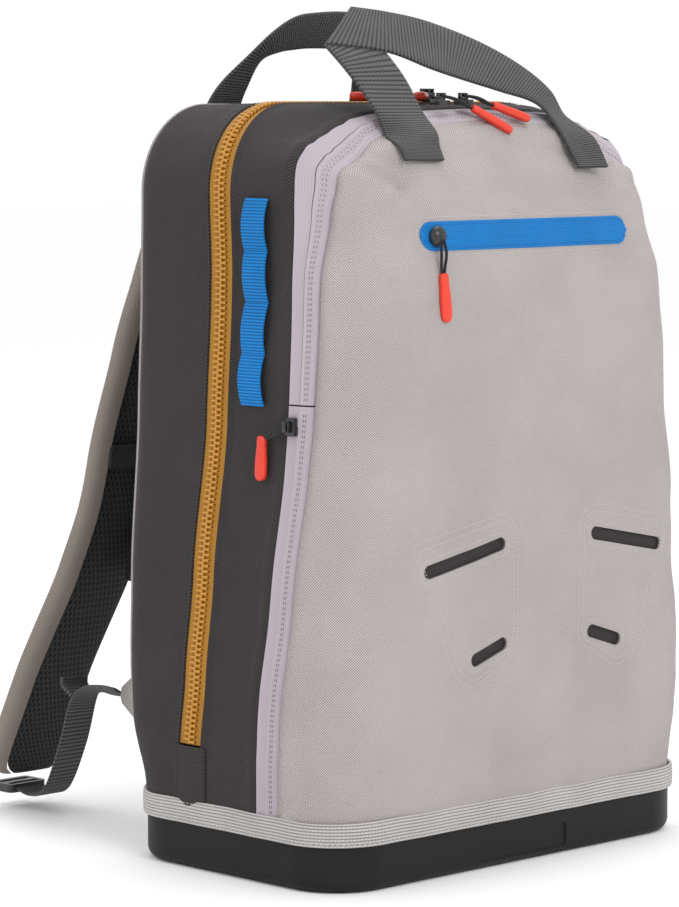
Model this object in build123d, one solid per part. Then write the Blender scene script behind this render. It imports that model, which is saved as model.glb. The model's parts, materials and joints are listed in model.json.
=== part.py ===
from build123d import *
import math
import os

# Tackle backpack: a soft zipped pack on a hollow moulded base, standing on that base.
# Millimetres. +X is to the right of someone looking at the front, the front faces -Y,
# +Z is up, and the origin is the centre of the base's flat underside.

# ---- overall sizes ----
base_width = 352.0
base_depth = 208.0
pack_height = 508.0        # floor to top panel, without the handles
shoulder_width = base_width - 26   # side to side, just under the rounded top corners

# ---- moulded base ----
base_rim = 42.0            # height of its wall
base_corner = 42.0
base_foot_radius = 8.0     # rounding along the underside
base_wall = 3.0
base_floor = 4.0
board_thickness = 5.0
plate_size = (87.0, 17.0, 0.9)   # blank recess in the front wall
plate_height = 14.0

# ---- fabric body ----
cloth = 3.0                # laminated, padded fabric
tape = 1.6                 # zipper tape and webbing
gap = 0.3                  # between pieces that part company
belly_bulge = 3.0
belly_height = 110.0
waist_height = 300.0
waist_width = base_width - 16
front_corner = 44.0
front_corner_top = 68.0
rear_corner = 24.0
top_corner = 58.0
lean_start = 430.0         # above this the front leans back
lean_depth = 46.0          # how far it has leaned at the top edge
lean_edge = 20.0           # rounding of that edge
binding_low = 31.0
binding_high = 47.0

# ---- zippers ----
zip_y = 24.0               # main zipper's plane, side view
zip_tape_width = 28.0
zip_chain_width = 9.6
zip_bead = 2.6
front_seam = -48.0         # dark gusset meets the front zipper's tape
front_tape_width = 18.0
front_split = 85.0         # the front section bends here
flap_split = 316.0         # the flap bends here
pocket_size = (202.0, 19.0)
pocket_height = 424.0

# ---- webbing ----
handle_width = 34.0
handle_thickness = 2.6
front_handle_legs = 76.0   # half the distance between the legs
rear_handle_legs = 70.0
handle_rise = 72.0         # above the top panel
loop_width = 21.0
loop_length = 134.0
strap_width = 62.0
strap_cover = 4.0
strap_padding = 10.0
strap_foot = 26.0          # height of its lower end
strap_reach = 190.0        # how far the lower end stands off the back
adjuster_width = 25.0
pad_thickness = 12.0

# ---- worked out from those ----
half = base_width / 2
front_y, back_y = -base_depth / 2, base_depth / 2
shoulder_height = pack_height - 68.0
reach = 2 * max(base_width, base_depth, pack_height)
tape_front = front_seam - front_tape_width
face_y = front_y - belly_bulge

os.makedirs("parts", exist_ok=True)


def save(name, *solids):
    """Writes one named piece, or a group of identical ones, to its own file."""
    export_step(Compound(label=name, children=list(solids)) if len(solids) > 1 else solids[0],
                f"parts/{name}.step")


def block(x, y, z):
    """A box between three pairs of limits."""
    size = [b - a for a, b in (x, y, z)]
    return Pos(*[(a + b) / 2 for a, b in (x, y, z)]) * Box(*size)


def solid(shape):
    """The shape's one solid, or its largest where a cut leaves crumbs."""
    return max(shape.solids(), key=lambda piece: piece.volume)


def mirrored(shape):
    return mirror(shape, about=Plane.YZ)


# ---- the body's envelope ----
def plan_outline(z, half_width, y_front, y_back, r_front, r_back, inset):
    """Rounded plan section of the pack at one height."""
    y0, y1 = y_front + inset, y_back - inset
    face = Pos(0, (y0 + y1) / 2, z) * Rectangle(2 * (half_width - inset), y1 - y0)
    face = fillet(face.vertices().group_by(Axis.Y)[0], r_front - inset)
    return fillet(face.vertices().sort_by(Axis.Y)[-2:], r_back - inset)


def front_view(inset):
    """Outline seen from the front: rounded top corners, sides flaring well clear below."""
    flare, drop = 0.12, pack_height - shoulder_height
    top_half = shoulder_width / 2 - flare * drop
    low_half = top_half + flare * (pack_height + 10)
    face = make_face(Polyline((-low_half, -10), (-top_half, pack_height),
                              (top_half, pack_height), (low_half, -10), close=True))
    face = fillet(face.vertices().group_by(Axis.Y)[-1], top_corner)
    return offset(face, -inset, kind=Kind.INTERSECTION) if inset else face


def side_view(inset):
    """Outline seen from the side: the front leans back to a rounded top edge."""
    top_y = front_y + lean_depth + 5
    slope = (pack_height - lean_start) / (lean_depth + 5 + 2)
    low_y = face_y - 30
    face = make_face(Polyline((back_y + 60, -10), (back_y + 60, pack_height),
                              (top_y, pack_height), (low_y, pack_height - slope * (top_y - low_y)),
                              (low_y, -10), close=True))
    edge = face.vertices().group_by(Axis.Y)[-1].sort_by(Axis.X)[0]
    face = fillet(edge, lean_edge)
    return offset(face, -inset, kind=Kind.INTERSECTION) if inset else face


envelopes = {}


def envelope(inset):
    """Everything within the pack's outer surface, moved inwards by inset."""
    if inset not in envelopes:
        levels = [
            (base_rim, half, front_y, back_y, base_corner, base_corner),
            (base_rim + 8, half, front_y, back_y, base_corner, base_corner),
            (belly_height, half + belly_bulge, face_y, back_y, front_corner, rear_corner),
            (waist_height, waist_width / 2, face_y, back_y, front_corner + 4, rear_corner),
            (shoulder_height, shoulder_width / 2, front_y - 2, back_y, front_corner_top, rear_corner),
            (pack_height + 12, shoulder_width / 2, front_y - 2, back_y, front_corner_top, rear_corner),
        ]
        body = loft([plan_outline(*level, inset) for level in levels], ruled=True)
        body &= extrude(Plane.XZ * front_view(inset), reach, both=True)
        body &= extrude(Plane.YZ * side_view(inset), reach, both=True)
        envelopes[inset] = body
    return envelopes[inset]


def layer(under, over, x=(-reach, reach), y=(-reach, reach), z=(-reach, reach)):
    """The part of the surface between two heights above it, inside a box."""
    return (envelope(-over) & block(x, y, z)) - envelope(-under)


def side_x(z):
    """Half the pack's width on its flat sides, at height z."""
    steps = [(base_rim + 8, half), (belly_height, half + belly_bulge),
             (waist_height, waist_width / 2), (shoulder_height, shoulder_width / 2)]
    for (z0, x0), (z1, x1) in zip(steps, steps[1:]):
        if z <= z1:
            return x0 + (x1 - x0) * (z - z0) / (z1 - z0)
    return shoulder_width / 2


def face_at(z):
    """Depth of the front's flat middle between the waist and the shoulders."""
    share = (z - waist_height) / (shoulder_height - waist_height)
    return face_y + share * (front_y - 2 - face_y)


def both_sides(shape):
    return [solid(shape), solid(mirrored(shape))]


# ---- moulded base ----
def base_tub():
    outline = plan_outline(0, half, front_y, back_y, base_corner, base_corner, 0)
    tub = extrude(outline, base_rim)
    tub = fillet(tub.faces().sort_by(Axis.Z)[0].edges(), base_foot_radius)
    hollow = extrude(plan_outline(base_floor, half, front_y, back_y, base_corner, base_corner,
                                  base_wall), base_rim)
    hollow = fillet(hollow.faces().sort_by(Axis.Z)[0].edges(), base_foot_radius - base_wall)
    width, height, depth = plate_size
    plate = Pos(0, front_y, plate_height) * Box(width, 2 * depth, height)
    plate = fillet(plate.edges().filter_by(Axis.Y), 4)
    return tub - hollow - plate


def base_ring(low, high, outward):
    """A band round the outside of the base and the fabric above it."""
    outer = plan_outline(low, half, front_y, back_y, base_corner, base_corner, -outward)
    inner = plan_outline(low, half, front_y, back_y, base_corner, base_corner, 0)
    return extrude(outer - inner, high - low)


def floor_board():
    inset = base_wall + base_foot_radius
    outline = plan_outline(base_floor, half, front_y, back_y, base_corner, base_corner, inset)
    return extrude(outline, board_thickness)


# ---- fabric panels ----
panel_back = back_y - cloth
rear_edge = zip_y + zip_tape_width / 2
front_edge = zip_y - zip_tape_width / 2
shell_z = (base_rim, reach)
section_z = (front_split + gap, reach)
flap_z = (flap_split + gap, reach)


def back_pad(x, z):
    pad = block(x, (back_y, back_y + pad_thickness), z)
    pad = fillet(pad.edges().filter_by(Axis.Y), 18)
    return fillet(pad.faces().sort_by(Axis.Y)[-1].edges(), pad_thickness * 0.6)


def frame_sheet():
    """Stiffener lying against the inside of the back panel's flat middle."""
    thin, edge = 2.0, shoulder_width / 2 - rear_corner - 3
    sheet = block((-edge, edge), (panel_back - thin, panel_back), (base_rim + 4, pack_height - 24))
    return fillet(sheet.edges().filter_by(Axis.Y), 16)


def divider_panel():
    thin = 3.0
    return envelope(cloth + 0.2) & block((-reach, reach), (front_seam + 1, front_seam + 1 + thin),
                                         (front_split + 1, reach))


def mesh_pocket():
    start = front_seam + 4.2
    pocket = block((-118, 118), (start, start + 3), (150, 370))
    return fillet(pocket.edges().filter_by(Axis.Y), 14)


slot_width = 9.0
slot_axis = 16.5           # the two groups of slots mirror each other about this X
slot_lines = [((-98, 206), (-30, 219)), ((-54, 144), (-28, 152))]
backing_outline = [(-114, 224), (-26, 240), (-14, 232), (-14, 146), (-56, 124), (-74, 134)]


def across_slots(shape):
    return mirror(shape, about=Plane.YZ.offset(slot_axis))


def slot_prisms():
    """Slanted, round-ended slots through the front, left and right."""
    cuts = []
    for start, end in slot_lines:
        line = Line(start, end)
        bar = SlotCenterToCenter(line.length, slot_width)
        angle = Vector(1, 0).get_signed_angle(Vector(*end) - Vector(*start))
        cut = Plane.XZ * (Pos(*(line @ 0.5)) * Rot(0, 0, angle) * bar)
        prism = extrude(cut, reach, dir=(0, -1, 0))
        cuts += [prism, across_slots(prism)]
    return cuts


def lash_backings():
    """Dark patches sewn inside the front, so that a lashing strap passes from slot to slot."""
    outline = make_face(Polyline(*backing_outline, close=True))
    outline = fillet(outline.vertices(), 8)
    column = extrude(Plane.XZ * outline, reach, dir=(0, -1, 0))
    inside = layer(-cloth - tape, -cloth, y=(-reach, 0))
    return [solid(inside & column), solid(inside & across_slots(column))]


def wing():
    """Triangular tab on the back edge that anchors the adjuster webbing."""
    outline = make_face(Polyline((back_y, 68), (back_y, 138), (back_y + 44, 105), (back_y + 44, 95),
                                 close=True))
    outer = side_x(100) - rear_corner - 8
    return Pos(-outer, 0, 0) * extrude(Plane.YZ * outline, 1.5, both=True)


# ---- straps and handles: a strip bent in side view, cut to its outline in front view ----
def strip(route, radius, left, right, wide):
    """A strip along a side-view route, left and right of it by two thicknesses."""
    line = FilletPolyline(*route, radius=radius)
    parts = [make_face(offset(line, amount, side=side))
             for amount, side in ((left, Side.LEFT), (right, Side.RIGHT)) if amount]
    return [extrude(Plane.YZ * face, wide, both=True) for face in parts]


def arch(half_span, width, low, high, drop, radius):
    """Front-view outline of a carry handle."""
    outer = Pos(0, (low + high) / 2) * Rectangle(2 * half_span + width, high - low)
    outer = fillet(outer.vertices().group_by(Axis.Y)[-1], radius)
    inner_high = high - drop
    inner = Pos(0, (low + inner_high) / 2) * Rectangle(2 * half_span - width, inner_high - low)
    inner = fillet(inner.vertices().group_by(Axis.Y)[-1], radius * 0.6)
    return extrude(Plane.XZ * (outer - inner), reach, both=True)


lean_slope = (pack_height - lean_start) / (lean_depth + 7)


def lean_y(z):
    """Front face's depth above lean_start."""
    return front_y + lean_depth + 5 - (pack_height - z) / lean_slope


handle_foot = pack_height - 44
handle_top = pack_height + handle_rise
front_handle_pivot = (lean_y(handle_foot) - 3.2, handle_foot + 1.5)
rear_handle_pivot = (back_y + 2.2, pack_height - 8)


def front_handle():
    y0, z0 = front_handle_pivot
    rise = pack_height + 4 - z0
    bend = (y0 + rise / lean_slope, pack_height + 4)
    tip = (bend[0] + 76, handle_top)
    parts = strip([(y0, z0), bend, tip], 24, handle_thickness / 2, handle_thickness / 2, half)
    outline = arch(front_handle_legs, handle_width, z0 - 20, handle_top + 0.5, 24, 46)
    return (parts[0] + parts[1]) & outline


def rear_handle():
    y0, z0 = rear_handle_pivot
    parts = strip([(y0, z0), (y0, pack_height + 8), (y0 - 36, handle_top)], 20,
                  handle_thickness / 2, handle_thickness / 2, half)
    outline = arch(rear_handle_legs, handle_width, z0 - 20, handle_top + 0.5, 30, 58)
    return (parts[0] + parts[1]) & outline


strap_top = pack_height - 24
strap_pivot = (back_y + 3.3, strap_top + 1)


def strap_height(share):
    """Height at a share of the strap's drop, 0 at its foot and 1 at its top."""
    return strap_foot + share * (strap_top - strap_foot)


def strap_route():
    steps = [(-4, 1.0), (0.24 * strap_reach, 0.93), (0.44 * strap_reach, 0.68),
             (0.56 * strap_reach, 0.42), (0.82 * strap_reach, 0.18), (strap_reach, -0.02)]
    return [(back_y + out, strap_height(share)) for out, share in steps]


def strap_layers():
    """Outer cover and padded mesh of the left shoulder strap."""
    centre = FilletPolyline((-62, strap_top + 30), (-66, strap_height(0.85)),
                            (-84, strap_height(0.55)), (-104, strap_height(0.2)),
                            (-111, strap_foot - 30), radius=120)
    outline = extrude(Plane.XZ * trace(centre, strap_width), reach, both=True)
    keep = block((-reach, 0), (strap_pivot[0], reach), (strap_foot, reach))
    cover, mesh = strip(strap_route(), 45, strap_cover, strap_padding, reach)
    return [solid(piece & outline & keep) for piece in (cover, mesh)]


def adjuster():
    """Webbing from the ladder lock at the strap's foot up to the wing."""
    y1 = back_y + strap_reach - 14
    route = [(y1, 17), (y1 - 34, 16), (back_y + 100, 92), (back_y + 46, 100)]
    parts = strip(route, 14, 0.9, 0.9, reach)
    centre = Polyline((-111, -10), (-111, 20), (-134, 96), (-134, 140))
    outline = extrude(Plane.XZ * trace(centre, adjuster_width), reach, both=True)
    return solid((parts[0] + parts[1]) & outline)


lock_x, lock_y, lock_z = -111.0, back_y + strap_reach, 15.0


def ladder_lock():
    frame = fillet(Box(34, 24, 6).edges().filter_by(Axis.Z), 4)
    for y in (-6, 5):
        frame -= Pos(0, y, 0) * Box(adjuster_width + 1.5, 5, 8)
    return Pos(lock_x, lock_y, lock_z) * frame


# The chest strap's halves sit on the straight middle run of each shoulder strap.
chest_share = 0.52


def chest_place():
    """Origin on the strap's mesh face, x along the pack's X, z off the face."""
    (y0, z0), (y1, z1) = strap_route()[2:4]
    share = (strap_height(chest_share) - z0) / (z1 - z0)
    run = Vector(0, y1 - y0, z1 - z0).normalized()
    normal = Vector(0, run.Z, -run.Y)
    point = Vector(0, y0 + share * (y1 - y0), z0 + share * (z1 - z0))
    centre_x = -86
    origin = point + normal * (strap_padding + gap + 0.2) + Vector(centre_x, 0, 0)
    return Plane(origin, x_dir=(1, 0, 0), z_dir=tuple(normal))


def chest_strap():
    """A runner across the strap and the short webbing that hangs from it."""
    runner = Pos(0, 0, 2) * Box(strap_width - 10, 16, 4)
    runner = fillet(runner.edges().filter_by(Axis.Z), 3)
    webbing = Pos(strap_width / 2 - 14, -31, 4.6) * Box(20, 62, 1.8)
    return runner + webbing


def chest_socket():
    """Female half of the chest buckle."""
    body = fillet(Box(28, 30, 9).edges().filter_by(Axis.Y), 3)
    body -= Pos(0, -6, 0) * Box(20, 24, 5)
    return Pos(strap_width / 2 - 14, -77.2, 5) * body


def chest_plug():
    """Male half of the chest buckle, with its two side prongs."""
    body = Box(24, 12, 6)
    for x in (-8, 0, 8):
        body += Pos(x, -15, 0) * Box(3.4, 20, 4)
    return Pos(strap_width / 2 - 14, -68.2, 5) * body


# ---- sliders and their pulls ----
crown_height = 2.6         # the pull's eye above the slider's back


def slider(length, width, height, turn):
    """A zipper slider on z = 0: its body turned about z, and a crown whose window holds the pull."""
    body = Pos(0, 0, height / 2) * Box(length, width, height)
    body = fillet(body.edges().filter_by(Axis.Z), width * 0.3)
    crown = Pos(0, 0, height + 2.4) * (Box(10, 3, 5) - Pos(0, 0, 0.2) * Box(5.6, 4, 3.4))
    return Rot(0, 0, turn) * body + crown


def rod(start, end, radius):
    """A round-ended rod between two points."""
    run = Vector(*end) - Vector(*start)
    body = Plane(Vector(*start) + run / 2, z_dir=tuple(run)).location * Cylinder(radius, run.length)
    for point in (start, end):
        body += Pos(*point) * Sphere(radius)
    return body


def pull(route, grip_length, grip_width=9.0, grip_height=6.0):
    """A cord pull from an eye at the origin, along a route of (x, z) points, to its grip."""
    wire, eye, neck = 1.1, 2.9, 8.0
    body = rod((0, -eye, 0), (0, eye, 0), wire) + rod((neck, -eye, 0), (neck, eye, 0), wire)
    for y in (-eye, eye):
        body += rod((0, y, 0), (neck, y, 0), wire)
    points = [(neck, 0, 0)] + [(x, 0, z) for x, z in route]
    for start, end in zip(points, points[1:]):
        body += rod(start, end, wire)
    run = (Vector(*points[-1]) - Vector(*points[-2])).normalized()
    grip = fillet(Box(grip_length, grip_width, grip_height).edges(), 2.4)
    middle = Vector(*points[-1]) + run * (grip_length / 2 - 1)
    return body + Plane(middle, x_dir=tuple(run), z_dir=(-run.Z, 0, run.X)).location * grip


def zipper_pull(name, origin, outward, towards, body_size, turn, route, grip):
    """Saves a slider on the surface at origin and its pull, which points towards."""
    place = Plane(origin, x_dir=towards, z_dir=outward).location
    save(name.replace("pull", "slider"), solid(place * slider(*body_size, turn)))
    eye = Location((0, 0, body_size[-1] + crown_height))
    save(name, solid(place * eye * pull(route, grip)))


main_slider = (18.0, 13.0, 4.5)
fine_slider = (12.0, 9.0, 4.0)
grip_length = 31.0
pocket_grip_length = 36.0
# Where each slider of the two upper zippers stops when shut, and which way its pull lies.
main_pulls = {"left": (14.0, (-1, 0.25, 0)), "right": (38.0, (-1, -0.75, 0))}
main_pull_route = [(14, 0), (24, -3.4), (30, -3.4)]
front_pulls = {"left": (-33.0, (0.93, -0.37, 0), [(13, -1), (20, -7.6), (26, -10.9)]),
               "right": (-11.0, (0.95, -0.25, 0), [(13, -1), (20, -7), (26, -8.7)])}
side_slider_z = flap_split - 14
side_slider_x = side_x(side_slider_z) + 2 * gap
pocket_slider_x = -pocket_size[0] / 2 + 12
pocket_slider_y = face_at(pocket_height) - gap


def along_x(towards):
    """Turn that lines a slider up with its zipper, whichever way its pull lies."""
    return -math.degrees(math.atan2(towards[1], towards[0]))


def save_sliders():
    front_tape_y = front_seam - front_tape_width / 2
    main_z = pack_height + zip_bead + gap
    for side, sign in (("left", -1), ("right", 1)):
        x, towards = main_pulls[side]
        zipper_pull(f"main_pull_{side}", (x, zip_y, main_z), (0, 0, 1), towards, main_slider,
                    along_x(towards), main_pull_route, grip_length)
        x, towards, route = front_pulls[side]
        zipper_pull(f"front_pull_{side}", (x, front_tape_y, pack_height + gap), (0, 0, 1), towards,
                    fine_slider, along_x(towards), route, grip_length)
        zipper_pull(f"side_pull_{side}", (sign * side_slider_x, front_tape_y, side_slider_z),
                    (sign, 0, 0), (0, 0.6, -1), fine_slider, 0, [(14, 0), (22, -0.6), (27, -0.6)],
                    grip_length)
    zipper_pull("pocket_pull", (pocket_slider_x, pocket_slider_y, pocket_height), (0, -1, 0),
                (0.12, 0, -1), fine_slider, 90, [(14, 0), (22, -2), (29, -2)], pocket_grip_length)


def save_base():
    save("base_tub", base_tub())
    save("base_binding", base_ring(binding_low, binding_high, tape))
    save("floor_board", floor_board())


def save_back():
    """Back panel, its stiffener and pads, and the dark gusset up to the main zipper."""
    save("back_panel", solid(envelope(0) & block((-reach, reach), (panel_back, reach), shell_z)))
    save("frame_sheet", frame_sheet())
    pads = back_pad((-112, -18), (178, strap_top - 50))
    save("back_pads", *both_sides(pads))
    save("lumbar_pad", back_pad((-112, 112), (62, 168)))
    save("yoke_panel", block((-122, 122), (back_y, back_y + 2.5), (strap_top - 38, strap_top + 2)))
    save("back_piping", solid(layer(0, tape, y=(back_y - 6, back_y - 3), z=(binding_high, reach))))
    save("wings", *both_sides(wing()))
    save("rear_gusset", solid(layer(-cloth, 0, y=(rear_edge, panel_back), z=shell_z)))
    low = (base_rim, front_split)
    side = (-reach, 0)
    save("lower_gussets", *both_sides(layer(-cloth, 0, x=side, y=(front_seam, rear_edge), z=low)))
    save("lower_front_panel", solid(layer(-cloth, 0, y=(-reach, front_seam), z=low)))
    save("main_zip_tape_rear",
         solid(layer(-tape, 0, y=(zip_y + gap / 2, rear_edge), z=section_z)))
    save("main_zip_teeth_rear",
         solid(layer(0, zip_bead, y=(zip_y + gap / 2, zip_y + zip_chain_width / 2), z=section_z)))
    garage = layer(0, tape, x=side, y=(front_edge - 2, rear_edge + 2), z=(binding_high, front_split))
    save("zip_garages", *both_sides(garage))


def save_front_section():
    """What swings down with the main zipper open."""
    save("front_gusset", solid(layer(-cloth, 0, y=(front_seam, front_edge), z=section_z)))
    save("main_zip_tape_front",
         solid(layer(-tape, 0, y=(front_edge, zip_y - gap / 2), z=section_z)))
    save("main_zip_teeth_front",
         solid(layer(0, zip_bead, y=(zip_y - zip_chain_width / 2, zip_y - gap / 2), z=section_z)))
    save("divider_panel", divider_panel())
    save("mesh_pocket", mesh_pocket())
    below = (front_split + gap, flap_split)
    front_panel = layer(-cloth, 0, y=(-reach, tape_front), z=below)
    for cut in slot_prisms():
        front_panel -= cut
    save("front_panel", solid(front_panel))
    save("lash_backings", *lash_backings())
    save("side_zip_tapes", *both_sides(layer(-tape, 0, x=(-reach, 0), y=(tape_front, front_seam),
                                             z=below)))
    middle = (tape_front + front_seam) / 2
    save("front_zip_tape_rear",
         solid(layer(-tape, 0, y=(middle + gap / 2, front_seam), z=flap_z)))
    loop_z = (shoulder_height + 8 - loop_length, shoulder_height + 8)
    loops = layer(0, tape, x=(-reach, 0), y=(front_edge - 21 - loop_width, front_edge - 21), z=loop_z)
    save("side_webbing_loops", *both_sides(loops))


def save_flap():
    """What folds forward with the front compartment open."""
    middle = (tape_front + front_seam) / 2
    width, height = pocket_size
    window = (Pos(0, pocket_height) * Rectangle(width, height))
    window = extrude(Plane.XZ * fillet(window.vertices(), height / 2 - 0.5), reach, both=True)
    ahead = block((-reach, reach), (-reach, 0), (0, reach))
    save("flap_panel", solid(layer(-cloth, 0, y=(-reach, tape_front), z=flap_z) - (window & ahead)))
    save("front_zip_tape_front",
         solid(layer(-tape, 0, y=(tape_front, middle - gap / 2), z=flap_z)))
    save("pocket_zip_tape", solid(layer(-tape, 0, y=(-reach, tape_front), z=flap_z) & window))
    bag = block((-96, 96), (front_y + cloth + 1, front_y + cloth + 4), (flap_split + 14, pocket_height + 4))
    save("pocket_bag", fillet(bag.edges().filter_by(Axis.Y), 12))


def save_carrying():
    """Handles, shoulder straps and what hangs on them."""
    save("front_handle", front_handle())
    save("rear_handle", rear_handle())
    cover, mesh = strap_layers()
    place = chest_place().location
    left = {"strap_cover": cover, "strap_mesh": mesh, "strap_webbing": adjuster(),
            "ladder_lock": ladder_lock(), "chest_strap": place * chest_strap()}
    for name, piece in left.items():
        save(f"{name}_left", solid(piece))
        save(f"{name}_right", solid(mirrored(piece)))
    save("chest_buckle_socket", solid(place * chest_socket()))
    save("chest_buckle_plug", solid(mirrored(place * chest_plug())))


save_base()
save_back()
save_front_section()
save_flap()
save_carrying()
save_sliders()
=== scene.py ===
import bmesh
import bpy
import json
import math
from mathutils import Matrix, Vector, noise


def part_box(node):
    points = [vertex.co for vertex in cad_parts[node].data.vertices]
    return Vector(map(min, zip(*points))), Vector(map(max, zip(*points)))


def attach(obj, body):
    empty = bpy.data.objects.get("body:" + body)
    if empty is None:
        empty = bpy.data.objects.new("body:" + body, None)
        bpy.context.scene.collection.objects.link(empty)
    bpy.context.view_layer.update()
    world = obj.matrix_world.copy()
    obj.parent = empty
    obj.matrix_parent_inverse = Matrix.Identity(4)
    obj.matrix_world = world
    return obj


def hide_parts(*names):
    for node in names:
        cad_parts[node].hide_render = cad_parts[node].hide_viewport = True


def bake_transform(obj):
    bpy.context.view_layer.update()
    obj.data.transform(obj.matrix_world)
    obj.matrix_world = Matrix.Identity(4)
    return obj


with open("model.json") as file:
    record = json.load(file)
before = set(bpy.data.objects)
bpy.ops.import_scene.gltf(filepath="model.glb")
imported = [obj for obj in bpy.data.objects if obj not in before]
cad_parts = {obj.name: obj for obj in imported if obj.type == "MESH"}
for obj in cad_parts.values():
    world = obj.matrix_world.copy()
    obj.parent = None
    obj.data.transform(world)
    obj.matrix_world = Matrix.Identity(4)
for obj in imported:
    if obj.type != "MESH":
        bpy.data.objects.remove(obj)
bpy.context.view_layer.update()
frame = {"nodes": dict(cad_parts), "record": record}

# A zipped tackle backpack on a moulded base. Metres, with MM to write sizes in millimetres.
# Every panel is a grid laid over the pack's outline, so seams, zippers and stitches share it.
MM = 0.001

# ---- places taken from the frame ----
tub_low, tub_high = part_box("base_tub")
HALF, FRONT, BACK, RIM = tub_high.x, tub_low.y, tub_high.y, tub_high.z
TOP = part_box("rear_gusset")[1].z
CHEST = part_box("flap_panel")[1].x - 3.5 * MM      # half the width under the top corners
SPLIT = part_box("front_gusset")[0].z               # the front section bends here
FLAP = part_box("flap_panel")[0].z                  # the flap bends here
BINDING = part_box("base_binding")
CORNER = 42 * MM                                  # the base's plan corners
TOP_CORNER = 58 * MM
LOW = RIM - 4 * MM                                # fabric starts behind the binding

SIDES = ((-1, "left"), (1, "right"))

FLAT_TOP = CHEST - TOP_CORNER
ARC = TOP_CORNER * math.pi / 2
SIDE = TOP - TOP_CORNER - LOW
OUTLINE = FLAT_TOP + ARC + SIDE                   # from the top's middle to the binding


# ---- small mathematics ----
def clamp(value, low=0.0, high=1.0):
    return max(low, min(high, value))


def ease(low, high, value):
    share = clamp((value - low) / (high - low))
    return share * share * (3 - 2 * share)


def squared_off(value, power):
    """A sine or cosine raised to a power with its sign kept, which makes a round shape squarer."""
    return math.copysign(abs(value) ** power, value)


def through(knots, value):
    """A smooth value through (place, value) knots."""
    if value <= knots[0][0]:
        return knots[0][1]
    for (a, p), (b, q) in zip(knots, knots[1:]):
        if value <= b:
            share = (value - a) / (b - a)
            return p + (q - p) * share * share * (3 - 2 * share) * 0.5 + (q - p) * share * 0.5
    return knots[-1][1]


def along(points, share):
    """A point at a share of a smooth curve through the points."""
    place = clamp(share) * (len(points) - 1)
    i = min(int(place), len(points) - 2)
    t = place - i
    p1, p2 = points[i], points[i + 1]
    p0 = points[i - 1] if i else p1 * 2 - p2
    p3 = points[i + 2] if i + 2 < len(points) else p2 * 2 - p1
    return ((p1 * 2) + (p2 - p0) * t + (p0 * 2 - p1 * 5 + p2 * 4 - p3) * t * t
            + (p1 * 3 - p0 - p2 * 3 + p3) * t * t * t) * 0.5


def millimetres(points):
    return [Vector(p) * MM for p in points]


class Wire:
    """A shader socket that can be used in arithmetic."""

    def __init__(self, finish, socket):
        self.finish, self.socket = finish, socket

    def math(self, operation, *others):
        return self.finish.add("ShaderNodeMath", {"operation": operation}, self, *others)

    def __add__(self, other):
        return self.math("ADD", other)

    def __sub__(self, other):
        return self.math("SUBTRACT", other)

    def __rsub__(self, other):
        return self.finish.add("ShaderNodeMath", {"operation": "SUBTRACT"}, other, self)

    def __mul__(self, other):
        return self.math("MULTIPLY", other)

    def __truediv__(self, other):
        return self.math("DIVIDE", other)

    def __gt__(self, other):
        return self.math("GREATER_THAN", other)

    __radd__ = __add__
    __rmul__ = __mul__

    def sine(self):
        return self.math("SINE")

    def size(self):
        return self.math("ABSOLUTE")

    def power(self, other):
        return self.math("POWER", other)

    def between(self, low, high):
        """0 below low, 1 above high, smooth between."""
        settings = {"interpolation_type": "SMOOTHSTEP"}
        return self.finish.add("ShaderNodeMapRange", settings, self, low, high)


class Finish:
    """One material: its shader, and the nodes that feed it."""

    def __init__(self, name, roughness=0.8, **constants):
        self.material = bpy.data.materials.new(name)
        self.material.use_nodes = True
        self.tree = self.material.node_tree
        self.shader = self.tree.nodes["Principled BSDF"]
        self.shader.inputs["Roughness"].default_value = roughness
        for socket, value in constants.items():
            self.shader.inputs[socket.replace("_", " ")].default_value = value

    def add(self, kind, settings=None, *values, output=0, **named):
        """A node with its settings, then its inputs in order or by name."""
        node = self.tree.nodes.new(kind)
        for key, value in (settings or {}).items():
            setattr(node, key, value)
        for place, value in list(enumerate(values)) + list(named.items()):
            socket = node.inputs[place]
            if isinstance(value, Wire):
                self.tree.links.new(value.socket, socket)
            elif value is not None:
                socket.default_value = value
        return Wire(self, node.outputs[output])

    def feed(self, socket, wire):
        self.tree.links.new(wire.socket, self.shader.inputs[socket])

    def uv(self):
        """Distance across and along the cloth, in millimetres."""
        found = self.add("ShaderNodeSeparateXYZ", None, self.add("ShaderNodeUVMap", {"uv_map": "UVMap"}))
        split = found.socket.node
        return [Wire(self, split.outputs[i]) * 1000.0 for i in (0, 1)]

    def object_place(self):
        return self.add("ShaderNodeTexCoord", output="Object")

    def noise(self, scale, detail=2.0):
        return self.add("ShaderNodeTexNoise", None, Vector=self.object_place(), Scale=scale, Detail=detail)

    def mix(self, factor, a, b):
        """Colour a where factor is 0, b where it is 1."""
        node = self.tree.nodes.new("ShaderNodeMix")
        node.data_type = "RGBA"
        self.tree.links.new(factor.socket, node.inputs["Factor"])
        for socket, value in ((node.inputs[6], a), (node.inputs[7], b)):
            if isinstance(value, Wire):
                self.tree.links.new(value.socket, socket)
            else:
                socket.default_value = (*value, 1.0)
        return Wire(self, node.outputs[2])

    def bump(self, height, distance, strength=1.0, base=None):
        values = {"Height": height, "Distance": distance, "Strength": strength}
        if base:
            values["Normal"] = base
        return self.add("ShaderNodeBump", None, **values)


def tint(colour, share):
    return tuple(clamp(c * share) for c in colour)


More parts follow.
